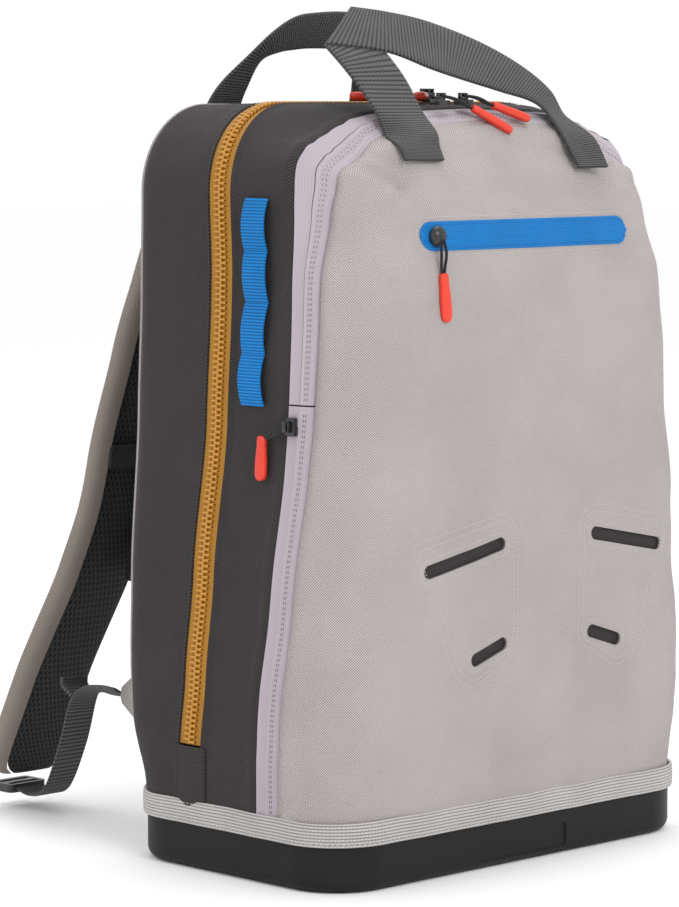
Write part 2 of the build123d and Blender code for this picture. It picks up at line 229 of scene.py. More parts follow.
def woven(name, colour, yarn, slant=0.0, depth=0.25, sheen=0.15, contrast=0.35, roughness=0.85,
          bias=False):
    """Cloth of crossing yarns, turned 45 degrees with bias; slant gives the wales of a twill."""
    made = Finish(name, roughness, Sheen_Weight=sheen, Sheen_Roughness=0.4, Specular_IOR_Level=0.25)
    u, v = made.uv()
    turn = math.pi / yarn
    if bias:
        u, v = (u + v) * 0.7071, (u - v) * 0.7071
    warp, weft = (u * turn).sine(), (v * turn).sine()
    if slant:
        wale = (u * turn + v * turn * 0.9).sine()
        over = wale.between(-0.45, 0.45)
        height = over * (0.55 + 0.45 * warp.size()) + (1.0 - over) * (0.2 * weft.size())
    else:
        over = (warp * weft).between(-0.15, 0.15)
        height = over * warp.size() + (1.0 - over) * weft.size()
    patch = made.noise(14.0, 3.0).between(0.3, 0.7)
    made.feed("Base Color", made.mix(patch * 0.12 + height * 0.88, tint(colour, 1 - contrast),
                                     tint(colour, 1 + contrast * 0.55)))
    made.feed("Normal", made.bump(height, depth * MM))
    return made.material


def ribbed(name, colour, rib, depth=0.35, contrast=0.4, sheen=0.1, roughness=0.75, ends=2.4):
    """Webbing: ribs across the width, and ends that stand up in rows along it."""
    made = Finish(name, roughness, Sheen_Weight=sheen, Specular_IOR_Level=0.3)
    u, v = made.uv()
    across = (v * (math.pi / rib)).sine().size()
    rows = (u * (math.pi / ends) + (v * (math.pi / rib)).sine() * 0.5).sine().size()
    height = across.between(0.15, 0.95) * (0.6 + 0.4 * rows.between(0.1, 0.8))
    patch = made.noise(20.0).between(0.25, 0.75)
    made.feed("Base Color", made.mix(height * 0.8 + patch * 0.2, tint(colour, 1 - contrast),
                                     tint(colour, 1 + contrast * 0.6)))
    made.feed("Normal", made.bump(height, depth * MM))
    return made.material


def spacer_mesh(name, colour, pitch=4.2):
    """Open mesh with staggered round holes over dark foam; the holes carry painted shade, far darker than the
    mesh.
    """
    made = Finish(name, 0.7, Specular_IOR_Level=0.35)
    u, v = made.uv()
    grid = ((u * (2 * math.pi / pitch)).math("COSINE") * (v * (math.pi / pitch)).math("COSINE"))
    hole = grid.between(0.12, 0.5)
    thread = made.noise(900.0, 1.0).between(0.35, 0.65)
    # painted shade: the holes take 0.12 of the mesh colour, standing for the foam below them seen in shade
    made.feed("Base Color", made.mix(hole, tint(colour, 1.0), tint(colour, 0.12)))
    made.feed("Normal", made.bump(1.0 - hole + thread * 0.15, 0.9 * MM))
    made.feed("Roughness", hole * 0.3 + 0.6)
    return made.material


def moulded(name, colour, roughness=0.45, grain=0.05, grain_scale=1400.0, coat=0.0, metal=0.0, wear=0.3,
            shine=0.5):
    """Moulded plastic, rubber or lacquer with a fine grain and slight unevenness."""
    made = Finish(name, roughness, Metallic=metal, Coat_Weight=coat, Coat_Roughness=0.25,
                  Specular_IOR_Level=shine)
    fine = made.noise(grain_scale, 2.0)
    broad = made.noise(25.0, 4.0).between(0.3, 0.75)
    made.feed("Base Color", made.mix(broad * wear, colour, tint(colour, 1.6)))
    made.feed("Roughness", broad * 0.14 + (roughness - 0.07))
    made.feed("Normal", made.bump(fine, grain * MM))
    return made.material


LIGHT = (0.455, 0.415, 0.41)
DARK = (0.040, 0.035, 0.0355)
GOLD = (0.40, 0.185, 0.02)
BLUE = (0.001, 0.165, 0.48)
light_cloth = woven("light_oxford", LIGHT, 1.25, depth=0.6, contrast=0.62, sheen=0.05, bias=True)
dark_cloth = woven("charcoal_twill", DARK, 1.2, slant=1.0, depth=0.3, contrast=0.62, sheen=0.05)
strap_cloth = woven("grey_tan_twill", (0.25, 0.215, 0.185), 1.2, slant=1.0, depth=0.3, contrast=0.45)
lining_cloth = woven("lining", (0.07, 0.067, 0.067), 0.8, depth=0.1, contrast=0.2)
binding_tape = ribbed("grosgrain_binding", (0.44, 0.42, 0.41), 2.1, contrast=0.5, depth=0.6)
gold_tape = ribbed("gold_tape", GOLD, 1.2, contrast=0.25, depth=0.12, ends=1.4)
light_tape = ribbed("light_tape", (0.385, 0.34, 0.38), 1.5, contrast=0.1, depth=0.05, ends=1.5)
blue_tape = ribbed("blue_tape", (0.001, 0.155, 0.45), 1.2, contrast=0.4, depth=0.15, sheen=0.0, roughness=0.7)
blue_webbing = ribbed("blue_webbing", BLUE, 2.0, contrast=0.55, ends=2.6, depth=0.5, sheen=0.0)
dark_webbing = ribbed("dark_webbing", (0.062, 0.063, 0.061), 2.2, contrast=0.85, ends=2.6, depth=0.7)
air_mesh = spacer_mesh("air_mesh", (0.025, 0.026, 0.027))
gold_plastic = moulded("gold_teeth", (0.47, 0.215, 0.02), roughness=0.35, grain=0.02, wear=0.1)
base_plastic = moulded("moulded_base", (0.010, 0.010, 0.0105), roughness=0.5, grain=0.06, wear=0.5,
                       shine=0.16)
black_plastic = moulded("black_acetal", (0.014, 0.014, 0.015), roughness=0.38, grain=0.02)
black_metal = moulded("black_lacquer", (0.012, 0.013, 0.015), roughness=0.3, metal=0.3, grain=0.01, coat=0.4)
red_rubber = moulded("red_grip", (0.64, 0.035, 0.014), roughness=0.42, grain=0.03, wear=0.06)
cord_black = woven("black_cord", (0.014, 0.014, 0.016), 0.6, depth=0.2)
pale_thread = moulded("pale_thread", (0.60, 0.57, 0.53), roughness=0.8, grain=0.01, wear=0.1)
tape_thread = moulded("tape_thread", (0.16, 0.14, 0.155), roughness=0.8, grain=0.01)
dark_thread = moulded("dark_thread", (0.022, 0.02, 0.02), roughness=0.8, grain=0.01)
blue_thread = moulded("blue_thread", (0.008, 0.09, 0.27), roughness=0.8, grain=0.01)
foam = moulded("foam_board", (0.05, 0.05, 0.05), roughness=0.9, grain=0.2, grain_scale=500)
stiffener = moulded("stiffener_sheet", (0.5, 0.5, 0.5), roughness=0.5)


# ---- mesh helpers ----
def new_piece(name, bm, *materials):
    mesh = bpy.data.meshes.new(name)
    bm.to_mesh(mesh)
    bm.free()
    for polygon in mesh.polygons:
        polygon.use_smooth = True
    for material in materials:
        mesh.materials.append(material)
    piece = bpy.data.objects.new(name, mesh)
    bpy.context.collection.objects.link(piece)
    return piece


def cloth_grid(columns, rows, size):
    """A flat grid one unit wide about the origin, with UVs that give it its cloth size."""
    bm = bmesh.new()
    uv = bm.loops.layers.uv.new("UVMap")
    bmesh.ops.create_grid(bm, x_segments=columns, y_segments=rows, size=0.5)
    for face in bm.faces:
        for loop in face.loops:
            loop[uv].uv = ((loop.vert.co.x + 0.5) * size[0], (loop.vert.co.y + 0.5) * size[1])
    return bm


def laid(name, columns, rows, place, size, material, thickness=0.0, bevel=0.0):
    """A grid placed on a surface: place(a, b) for a and b from 0 to 1; size is its cloth size."""
    bm = cloth_grid(columns, rows, size)
    for vert in bm.verts:
        vert.co = place(vert.co.x + 0.5, vert.co.y + 0.5)
    piece = new_piece(name, bm, material)
    if thickness:
        thicken(piece, thickness, bevel)
    return piece


def thicken(piece, thickness, bevel=0.0):
    solid = piece.modifiers.new("cloth", "SOLIDIFY")
    solid.thickness, solid.offset = thickness, -1
    if bevel:
        edge = piece.modifiers.new("edge", "BEVEL")
        edge.width, edge.segments, edge.limit_method = bevel, 2, "ANGLE"
        edge.angle_limit = math.radians(50)


def settle(piece):
    """Turns a piece's modifiers into its mesh."""
    depsgraph = bpy.context.evaluated_depsgraph_get()
    mesh = bpy.data.meshes.new_from_object(piece.evaluated_get(depsgraph))
    piece.modifiers.clear()
    piece.data = mesh
    mesh.set_sharp_from_angle(angle=math.radians(50))
    return piece


def facing(ahead, side, up):
    """A turn whose three axes are the given directions."""
    return Matrix((ahead, side, up)).transposed().to_4x4()


def stitches(name, placed, material, step=3.4 * MM, length=2.3 * MM, thick=0.36 * MM):
    """A row of thread stitches along a line of (point, outward direction)."""
    bm = bmesh.new()
    gone, due = 0.0, step / 2
    for (p, n), (q, _) in zip(placed, placed[1:]):
        run = (q - p).length
        while run > 1e-9 and due <= gone + run:
            share = (due - gone) / run
            ahead = (q - p).normalized()
            side = n.cross(ahead).normalized()
            place = Matrix.Translation(p.lerp(q, share)) @ facing(ahead, side, n.normalized())
            shape = Matrix.Diagonal((length / 2, thick / 2 * 1.3, thick / 2, 1))
            bmesh.ops.create_icosphere(bm, subdivisions=1, radius=1.0, matrix=place @ shape)
            due += step
        gone += run
    return new_piece(name, bm, material)


def cubes(name, matrices, material, bevel, segments=1):
    """Bevelled blocks at each of the given places."""
    bm = bmesh.new()
    for matrix in matrices:
        bmesh.ops.create_cube(bm, size=1.0, matrix=matrix)
    if bevel:
        bmesh.ops.bevel(bm, geom=bm.edges[:], offset=bevel, segments=segments, profile=0.5,
                        affect="EDGES", material=-1)
    return new_piece(name, bm, material)


def joined(name, pieces):
    """Several meshes as one piece, keeping each one's material."""
    bm = bmesh.new()
    materials = []
    for piece in pieces:
        settle(piece)
        mesh = piece.data
        first = len(bm.faces)
        bm.from_mesh(mesh)
        bm.faces.ensure_lookup_table()
        if mesh.materials[0] not in materials:
            materials.append(mesh.materials[0])
        for face in bm.faces[first:]:
            face.material_index = materials.index(mesh.materials[0])
        bpy.data.objects.remove(piece)
    return new_piece(name, bm, *materials)


def mirrored(piece, name):
    """The piece's mirror image across the middle of the pack."""
    settle(piece)
    bm = bmesh.new()
    bm.from_mesh(piece.data)
    bmesh.ops.scale(bm, vec=(-1, 1, 1), verts=bm.verts[:])
    bmesh.ops.reverse_faces(bm, faces=bm.faces[:])
    return new_piece(name, bm, *piece.data.materials)


def label(piece, nodes):
    if nodes:
        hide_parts(*nodes)
    return piece


def own(piece, body, nodes=()):
    """A piece that moves with one body."""
    settle(piece)
    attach(piece, body)
    return label(piece, nodes)


def bend(piece, nodes=()):
    """A piece with its modifiers and its placing applied to its mesh, attached to no body, and the given
    parts hidden.
    """
    settle(piece)
    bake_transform(piece)
    return label(piece, nodes)


def finish_node(node, material):
    mesh = frame["nodes"][node].data
    mesh.materials.clear()
    mesh.materials.append(material)


# ---- the pack's outline ----
WIDTHS = [(0.031, HALF), (0.05, HALF), (0.085, HALF + 2.5 * MM), (0.13, HALF + 3 * MM), (0.2, HALF - 1 * MM),
          (0.3, 0.168), (0.38, 0.1645), (TOP - TOP_CORNER, CHEST)]
REAR_CORNER = [(0.045, CORNER), (0.10, 26 * MM), (0.2, 20 * MM), (0.5, 18 * MM)]
FRONT_CORNER = [(0.045, CORNER), (0.11, 44 * MM), (0.24, 44 * MM), (0.31, 50 * MM), (0.38, 58 * MM),
                (0.44, 68 * MM)]
FACE = [(0.045, FRONT + 1 * MM), (0.06, FRONT), (0.11, FRONT - 4 * MM), (0.3, FRONT - 4.5 * MM),
        (0.40, FRONT - 3 * MM), (0.43, FRONT + 0.5 * MM), (0.46, FRONT + 15 * MM),
        (0.48, FRONT + 26 * MM), (0.495, FRONT + 36 * MM), (0.503, FRONT + 42 * MM), (TOP, FRONT + 48 * MM)]


def outline(l):
    """Half-width, height and outward direction at l metres round from the top's middle."""
    side, m = (-1 if l < 0 else 1), abs(l)
    if m <= FLAT_TOP:
        return side * m, TOP, Vector((0, 0, 1))
    if m <= FLAT_TOP + ARC:
        turn = (m - FLAT_TOP) / TOP_CORNER
        out = Vector((side * math.sin(turn), 0, math.cos(turn)))
        return (side * (FLAT_TOP + TOP_CORNER * math.sin(turn)),
                TOP - TOP_CORNER + TOP_CORNER * math.cos(turn), out)
    z = TOP - TOP_CORNER - (m - FLAT_TOP - ARC)
    return side * through(WIDTHS, z), z, Vector((side, 0, 0))


def quarter(distance, radius):
    """How far a round edge has fallen away, distance into its radius."""
    d = clamp(distance / radius)
    return radius * (1 - math.sqrt(1 - d * d))


def seam_y(l):
    """Where the dark gusset meets the front zipper's tape."""
    _, z, out = outline(l)
    side = through([(0.045, -30 * MM), (0.1, -34 * MM), (0.18, -43 * MM), (0.27, -51 * MM),
                    (0.32, -53 * MM), (0.40, -52 * MM), (TOP - TOP_CORNER, -50 * MM)], z)
    return side + 4 * MM * ease(OUTLINE - SIDE, FLAT_TOP, abs(l)) if out.z > 0.01 else side


def zip_y(l):
    """The main zipper's middle."""
    _, z, _ = outline(l)
    side = through([(0.045, 34 * MM), (0.085, 31 * MM), (0.13, 25 * MM), (0.2, 21 * MM),
                    (0.3, 15 * MM), (0.4, 14 * MM), (TOP - TOP_CORNER, 17 * MM)], z)
    return side + (25 * MM - side) * ease(FLAT_TOP + ARC, FLAT_TOP, abs(l))


# By distance from the top's middle: how far the outline has sunk in at the front seam, and how
# much further it drops across the tape.
SUNK = [(0.0, 3 * MM), (0.07, 5 * MM), (0.086, 6 * MM), (FLAT_TOP, 9 * MM), (FLAT_TOP + 0.12 * ARC, 12 * MM),
        (FLAT_TOP + 0.33 * ARC, 12 * MM), (FLAT_TOP + 0.5 * ARC, 8 * MM), (FLAT_TOP + 0.6 * ARC, 3 * MM),
        (FLAT_TOP + 0.75 * ARC, 0.0)]
DROP = [(0.0, 1 * MM), (0.07, 3 * MM), (0.09, 6 * MM), (FLAT_TOP, 9 * MM), (FLAT_TOP + 0.3 * ARC, 14 * MM),
        (FLAT_TOP + 0.6 * ARC, 20 * MM), (FLAT_TOP + 0.85 * ARC, 15 * MM), (FLAT_TOP + ARC + 10 * MM, 8 * MM),
        (FLAT_TOP + ARC + 50 * MM, 0.0)]


def shell(l, y, lift=0.0):
    """A point on the pack's sides and top, and the direction out of it."""
    x, z, out = outline(l)
    rear = through(REAR_CORNER, z) * (0.45 + 0.55 * abs(out.x))
    upward = ease(0.0, 1.0, out.z)
    front = through(FRONT_CORNER, z) * (1 - upward) + 24 * MM * upward
    start = (FRONT + front) * (1 - upward) - 50 * MM * upward
    inset, tilt = 0.0, 0.0
    if y > BACK - rear:
        inset = quarter(y - (BACK - rear), rear)
        tilt = clamp((y - (BACK - rear)) / rear) * 0.9
    if y < start:
        inset = quarter(start - y, front)
        tilt = -clamp((start - y) / front) * 0.8
    inset += through(SUNK, abs(l)) * ease(5 * MM, -48 * MM, y)
    inset += through(DROP, abs(l)) * ease(-44 * MM, -68 * MM, y)
    normal = (out + Vector((0, tilt, 0))).normalized()
    return Vector((x, y, z)) - out * inset + normal * lift, normal


def soft(point, scale, depth, seed=0.0):
    """Gentle unevenness of cloth at a point."""
    return noise.noise(point * scale + Vector((seed, 0, 0))) * depth


# ---- the front's cloth ----
def face_shape(z, half_x, y_edge):
    """Depth of the front's flat middle, and the reach in x and y of its round sides."""
    face = min(through(FACE, z), y_edge)
    rx = min(through(FRONT_CORNER, z), half_x)
    return face, rx, min(rx, y_edge - face)


def swell(x, z, half_x):
    return 2.5 * MM * (1 - (x / half_x) ** 2) * ease(TOP, 0.46, z)


def lean(z):
    """The upward part of the front's outward direction."""
    return 0.5 * ease(0.42, 0.48, z)


def face_depth(x, z, half_x, y_edge):
    """Depth of the front at x and z, where its outline is half_x wide and starts at y_edge."""
    face, rx, ry = face_shape(z, half_x, y_edge)
    into = clamp((rx - (half_x - abs(x))) / rx)
    return face + ry * (1 - math.sqrt(1 - into * into)) - swell(x, z, half_x)


TAPE = 18 * MM


def front_row(m):
    """Outline of the front's cloth at m metres up its edge from the binding."""
    l = OUTLINE - m
    edge, _ = shell(l, seam_y(l) - TAPE)
    return abs(edge.x), edge.y, edge.z


def row_at(z):
    """The front row whose height is z."""
    if z < TOP - 2 * TOP_CORNER:
        return z - LOW
    low, high = 0.0, FRONT_EDGE
    for _ in range(22):
        middle = (low + high) / 2
        if front_row(middle)[2] < z:
            low = middle
        else:
            high = middle
    return low


FRONT_EDGE = OUTLINE - 3 * MM
FRONT_JOIN = 0.26           # height where the front's two pieces of cloth meet
FRONT_GRID = 150            # columns of their grids
RISE_TO_FLAP = FLAP - LOW
STRAIGHT, ROUNDED = 0.07, 0.36      # shares of the way in from a seam where its straight and round parts end


def front_cloth(a, m, lift=0.0):
    """A point on the front: a runs from -1 at the left seam to 1 at the right one."""
    half_x, y_edge, z = front_row(m)
    side, t = (-1 if a < 0 else 1), 1 - abs(a)
    face, rx, ry = face_shape(z, half_x, y_edge)
    if t < STRAIGHT:
        x, y = half_x, y_edge - (y_edge - face - ry) * t / STRAIGHT
        out = Vector((side, 0, 0))
    elif t < ROUNDED:
        turn = (t - STRAIGHT) / (ROUNDED - STRAIGHT) * math.pi / 2
        x, y = half_x - rx * (1 - math.cos(turn)), face + ry * (1 - math.sin(turn))
        out = Vector((side * math.cos(turn), -math.sin(turn), 0))
    else:
        x, y = (half_x - rx) * (1 - (t - ROUNDED) / (1 - ROUNDED)), face
        out = Vector((0, -1, 0))
    out.z = lean(z) * (1 - abs(out.x))
    point = Vector((side * x, y - swell(x, z, half_x), z))
    return point + out.normalized() * lift


def face_point(x, z, lift=0.0):
    """A point on the front's flat middle."""
    m = row_at(z)
    half_x, y_edge, _ = front_row(m)
    base = Vector((x, face_depth(x, z, half_x, y_edge), z))
    out = Vector((0, -1, lean(z))).normalized()
    return base + out * (lift + drape(base, m)), out


# The valley folded into each upper corner, and the ridge that ends it, as
# (start, end, depth, width); a ridge has a negative depth.
FOLDS = [(Vector((-0.146, -0.066, 0.477)), Vector((-0.102, -0.088, 0.457)), 8.5 * MM, 6 * MM),
         (Vector((-0.112, -0.078, 0.474)), Vector((-0.094, -0.085, 0.464)), 7.0 * MM, 9 * MM),
         (Vector((-0.090, -0.084, 0.461)), Vector((-0.122, -0.094, 0.449)), -4.5 * MM, 6 * MM),
         (Vector((-0.088, -0.070, 0.486)), Vector((-0.090, -0.084, 0.461)), -2.0 * MM, 5 * MM)]


def folded(point):
    """How far the cloth is pulled in at the folds."""
    total = 0.0
    here = Vector((-abs(point.x), point.y, point.z))
    for start, end, depth, width in FOLDS:
        run = end - start
        share = clamp((here - start).dot(run) / run.length_squared)
        away = (here - start - run * share).length
        total += depth * math.exp(-(away / width) ** 2) * (0.45 + 0.55 * share)
    return total


def round_to(x):
    """Distance round the outline from the top's middle to a place x out from it."""
    if x <= FLAT_TOP:
        return x
    return FLAT_TOP + TOP_CORNER * math.asin(min((x - FLAT_TOP) / TOP_CORNER, 0.97))


def drape(base, m):
    """How far the front's cloth stands off its smooth outline, tucked in at its seam."""
    half_x, y_edge, z = front_row(m)
    above = front_row(OUTLINE - round_to(abs(base.x)))[2] - z if z > TOP - 2 * TOP_CORNER else 1.0
    gap = min(max(half_x - abs(base.x), 0.0) + max(y_edge - base.y, 0.0), max(above, 0.0) * 1.3)
    wave = soft(base, 14, 2.6 * MM) + soft(base, 38, 1.1 * MM, 7.0)
    calm = ease(0, 0.03, m) * ease(2 * MM, 18 * MM, gap)
    tuck = 2.2 * MM * ease(4 * MM, 0.0, gap) ** 2 * ease(0.0, 0.03, m)
    roll = 2.4 * MM * ease(3 * MM, 8 * MM, gap) * ease(24 * MM, 9 * MM, gap)
    return wave * calm - folded(base) * ease(0, 10 * MM, gap) - tuck + roll


def front_surface(a, m):
    base = front_cloth(a, m)
    out = (front_cloth(a, m, 1 * MM) - base) / MM
    return base + out * drape(base, m)


def measure_cloth(piece, columns, rows, size, start):
    """UVs that follow the cloth's real lengths, across from its middle and up from start."""
    coords = piece.data.uv_layers["UVMap"].data
    places = {}
    for loop, mark in zip(piece.data.loops, coords):
        cell = (round(mark.uv[0] / size[0] * columns), round(mark.uv[1] / size[1] * rows))
        places[cell] = piece.data.vertices[loop.vertex_index].co
    middle = columns // 2
    across, up = {}, {0: start}
    for row in range(rows + 1):
        if row:
            up[row] = up[row - 1] + (places[middle, row] - places[middle, row - 1]).length
        across[middle, row] = 0.0
        for step in range(1, middle + 1):
            for way in (-1, 1):
                here, last = (middle + way * step, row), (middle + way * (step - 1), row)
                across[here] = across[last] + way * (places[here] - places[last]).length
    for mark in coords:
        cell = (round(mark.uv[0] / size[0] * columns), round(mark.uv[1] / size[1] * rows))
        mark.uv = (across[cell], up[cell[1]])
    return up[rows]


def make_front():
    split = FRONT_JOIN - LOW
    rise = FRONT_EDGE - split
    wide, lower_rows, upper_rows = 0.46, 74, 96
    lower = laid("front_cloth_lower", FRONT_GRID, lower_rows,
                 lambda a, b: front_surface(2 * a - 1, split * b), (wide, split), light_cloth)
    upper = laid("front_cloth_upper", FRONT_GRID, upper_rows,
                 lambda a, b: front_surface(2 * a - 1, split + rise * b), (wide, rise), light_cloth)
    joint = measure_cloth(lower, FRONT_GRID, lower_rows, (wide, split), 0.0)
    measure_cloth(upper, FRONT_GRID, upper_rows, (wide, rise), joint)
    for piece in (lower, upper):
        thicken(piece, 1.8 * MM)
    cut_slots(lower)
    bend(lower, ("front_panel", "lower_front_panel"))
    bend(upper, ("flap_panel",))


SLOTS = [((-98, 206), (-30, 219)), ((-54, 144), (-28, 152))]
SLOT_WIDE = 9 * MM
SLOT_AXIS = 16.5            # the two groups mirror each other about this X
BACKING = [(-114, 224), (-26, 240), (-14, 232), (-14, 146), (-56, 124), (-74, 134)]


def reflect(places, mirror):
    """The left group's places, or where mirror is -1 the right group's."""
    return places if mirror > 0 else [(2 * SLOT_AXIS - x, z) for x, z in places]


def cut_slots(piece):
    """Round-ended slots through the front's cloth, cut by the shapes of the slots."""
    bm = bmesh.new()
    for mirror in (1, -1):
        for start, end in SLOTS:
            p, q = (Vector((x * MM, 0, z * MM)) for x, z in reflect((start, end), mirror))
            run = q - p
            turn = Matrix.Rotation(-math.atan2(run.z, run.x), 4, "Y")
            middle = (p + q) / 2 + Vector((0, FRONT, 0))
            made = bmesh.ops.create_cube(bm, size=1.0, matrix=Matrix.Translation(middle) @ turn @
                                         Matrix.Diagonal((run.length + SLOT_WIDE, 80 * MM, SLOT_WIDE, 1)))
            ends = {e for v in made["verts"] for e in v.link_edges
                    if abs((e.verts[0].co - e.verts[1].co).normalized().y) > 0.9}
            bmesh.ops.bevel(bm, geom=list(ends), offset=SLOT_WIDE * 0.49, segments=7, profile=0.5,
                            affect="EDGES", material=-1)
    cutter = new_piece("slot_cutter", bm, light_cloth)
    cut = piece.modifiers.new("slots", "BOOLEAN")
    cut.operation, cut.object, cut.solver = "DIFFERENCE", cutter, "EXACT"
    settle(piece)
    bpy.data.objects.remove(cutter)


def outline_points(corners, step=2 * MM, radius=8 * MM):
    """A closed rounded outline in x and z, as evenly spaced points."""
    bm = bmesh.new()
    verts = [bm.verts.new((x * MM, 0, z * MM)) for x, z in corners]
    bm.faces.new(verts)
    bmesh.ops.bevel(bm, geom=bm.verts[:], offset=radius, segments=5, profile=0.5,
                    affect="VERTICES", material=-1)
    bm.faces.ensure_lookup_table()
    loop = [v.co.copy() for v in max(bm.faces, key=lambda f: len(f.verts)).verts]
    bm.free()
    points = []
    for p, q in zip(loop, loop[1:] + loop[:1]):
        count = max(1, int((q - p).length / step))
        points += [p.lerp(q, i / count) for i in range(count)]
    return points + [points[0]]


def on_face(points, lift):
    return [face_point(p.x, p.z, lift) for p in points]


def slot_outline(start, end, wide):
    """A round-ended outline about a line, in millimetres of x and z."""
    p, q = Vector(start), Vector(end)
    run = (q - p).normalized()
    side = Vector((-run.y, run.x))
    points = []
    for centre, turn in ((q, -90), (p, 90)):
        for i in range(9):
            angle = math.radians(turn + i * 22.5)
            points.append(centre + (run * math.cos(angle) + side * math.sin(angle)) * wide)
    return [Vector((v.x * MM, 0, v.y * MM)) for v in points + [points[0]]]


def dense(points, step=1.5 * MM):
    out = []
    for p, q in zip(points, points[1:]):
        count = max(1, int((q - p).length / step))
        out += [p.lerp(q, i / count) for i in range(count)]
    return out + [points[-1]]


def make_slots():
    """Dark backings seen through the slots, and the stitching round them."""
    rows = []
    for mirror in (1, -1):
        side = "left" if mirror == 1 else "right"
        corners = reflect(BACKING, mirror)
        bm = bmesh.new()
        uv = bm.loops.layers.uv.new("UVMap")
        bm.faces.new([bm.verts.new((x * MM, 0, z * MM)) for x, z in corners])
        bmesh.ops.bevel(bm, geom=bm.verts[:], offset=8 * MM, segments=4, profile=0.5,
                        affect="VERTICES", material=-1)
        for face in bm.faces:
            for loop in face.loops:
                loop[uv].uv = (loop.vert.co.x, loop.vert.co.z)
        for axis, step in (((1, 0, 0), 6 * MM), ((0, 0, 1), 6 * MM)):
            for i in range(-25, 45):
                cut = Vector(axis) * i * step
                bmesh.ops.bisect_plane(bm, geom=bm.verts[:] + bm.edges[:] + bm.faces[:],
                                       plane_co=cut, plane_no=axis)
        for vert in bm.verts:
            vert.co = face_point(vert.co.x, vert.co.z, -2.6 * MM)[0]
        bmesh.ops.recalc_face_normals(bm, faces=bm.faces[:])
        backing = new_piece(f"lash_backing_{side}", bm, dark_cloth)
        thicken(backing, 0.8 * MM)
        own(backing, "front_section", ("lash_backings",))
        within = [(-108, 220), (-27, 235), (-18, 230), (-18, 149), (-55, 129), (-70, 138)]
        lines = [outline_points(corners), outline_points(reflect(within, mirror), radius=6 * MM)]
        for start, end in SLOTS:
            lines.append(slot_outline(*reflect((start, end), mirror), 8.0))
        for number, line in enumerate(lines):
            rows.append(stitches(f"row_{side}_{number}", on_face(dense(line), 0.25 * MM), pale_thread,
                                 step=2.6 * MM, length=1.8 * MM, thick=0.34 * MM))
    own(joined("slot_stitching", rows), "front_section")


# ---- zipper in the front's pocket ----
POCKET_X, POCKET_Z, POCKET_TALL = 101 * MM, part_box("pocket_zip_tape")[0].z + 9.5 * MM, 19 * MM


def make_pocket_zip():
    def tape_place(a, b):
        z = POCKET_Z + (b - 0.5) * POCKET_TALL
        reach = POCKET_X - quarter(abs(b - 0.5) * POCKET_TALL, POCKET_TALL / 2 + 0.01 * MM)
        x = (2 * a - 1) * reach
        ridge = 0.9 * MM * math.exp(-((b - 0.5) * POCKET_TALL / (1.6 * MM)) ** 2)
        return face_point(x, z, 0.5 * MM + ridge)[0]
    strip = laid("pocket_zip", 90, 22, tape_place, (2 * POCKET_X, POCKET_TALL), blue_tape, 1.2 * MM)
    own(strip, "front_flap", ("pocket_zip_tape",))
    rows = []
    for wide, lift, material in ((12.2, 0.3 * MM, pale_thread), (7.4, 0.75 * MM, blue_thread)):
        line = slot_outline((-POCKET_X / MM + 9.5, POCKET_Z / MM), (POCKET_X / MM - 9.5, POCKET_Z / MM), wide)
        rows.append(stitches(f"pocket_row_{wide}", on_face(dense(line), lift), material, step=2.8 * MM,
                             length=2.0 * MM))
    own(joined("pocket_stitching", rows), "front_flap")


# ---- gussets, tapes and teeth ----
GOLD_TAPE = 14 * MM


def gusset_point(l, y, lift=0.0, calm=1.0):
    point, normal = shell(l, y, lift)
    wave = soft(point, 18, 1.8 * MM, 3.0) + soft(point, 60, 0.5 * MM, 11.0)
    return point + normal * wave * calm


def make_gussets():
    def rear(a, b):
        l = -OUTLINE + 2 * OUTLINE * a
        y0, y1 = zip_y(l) + GOLD_TAPE - 3 * MM, BACK - 4 * MM
        calm = ease(0, 0.25, b) * ease(1, 0.75, b)
        edge = 1.2 * MM * (1 - ease(0.0, 0.06, b))
        return gusset_point(l, y0 + (y1 - y0) * b, 0.9 * MM + edge, calm)
    piece = laid("rear_gusset_cloth", 300, 26, rear, (2 * OUTLINE, 70 * MM), dark_cloth, 1.8 * MM)
    own(piece, "pack", ("rear_gusset",))

    def front(a, b):
        l = -OUTLINE + 2 * OUTLINE * a
        y0, y1 = seam_y(l), zip_y(l) - GOLD_TAPE + 3 * MM
        calm = ease(0, 0.25, b) * ease(1, 0.75, b)
        edge = 1.2 * MM * ease(0.94, 1.0, b)
        tuck = 2.4 * MM * ease(0.08, 0.0, b) - 1.2 * MM * ease(0.22, 0.08, b)
        return gusset_point(l, y0 + (y1 - y0) * b, 0.9 * MM + edge - tuck, calm)
    piece = laid("front_gusset_cloth", 300, 24, front, (2 * OUTLINE, 62 * MM), dark_cloth, 1.8 * MM)
    bend(piece, ("front_gusset", "lower_gussets"))


ZIP_END = OUTLINE - (SPLIT - LOW)
TOOTH_PITCH = 3.7 * MM


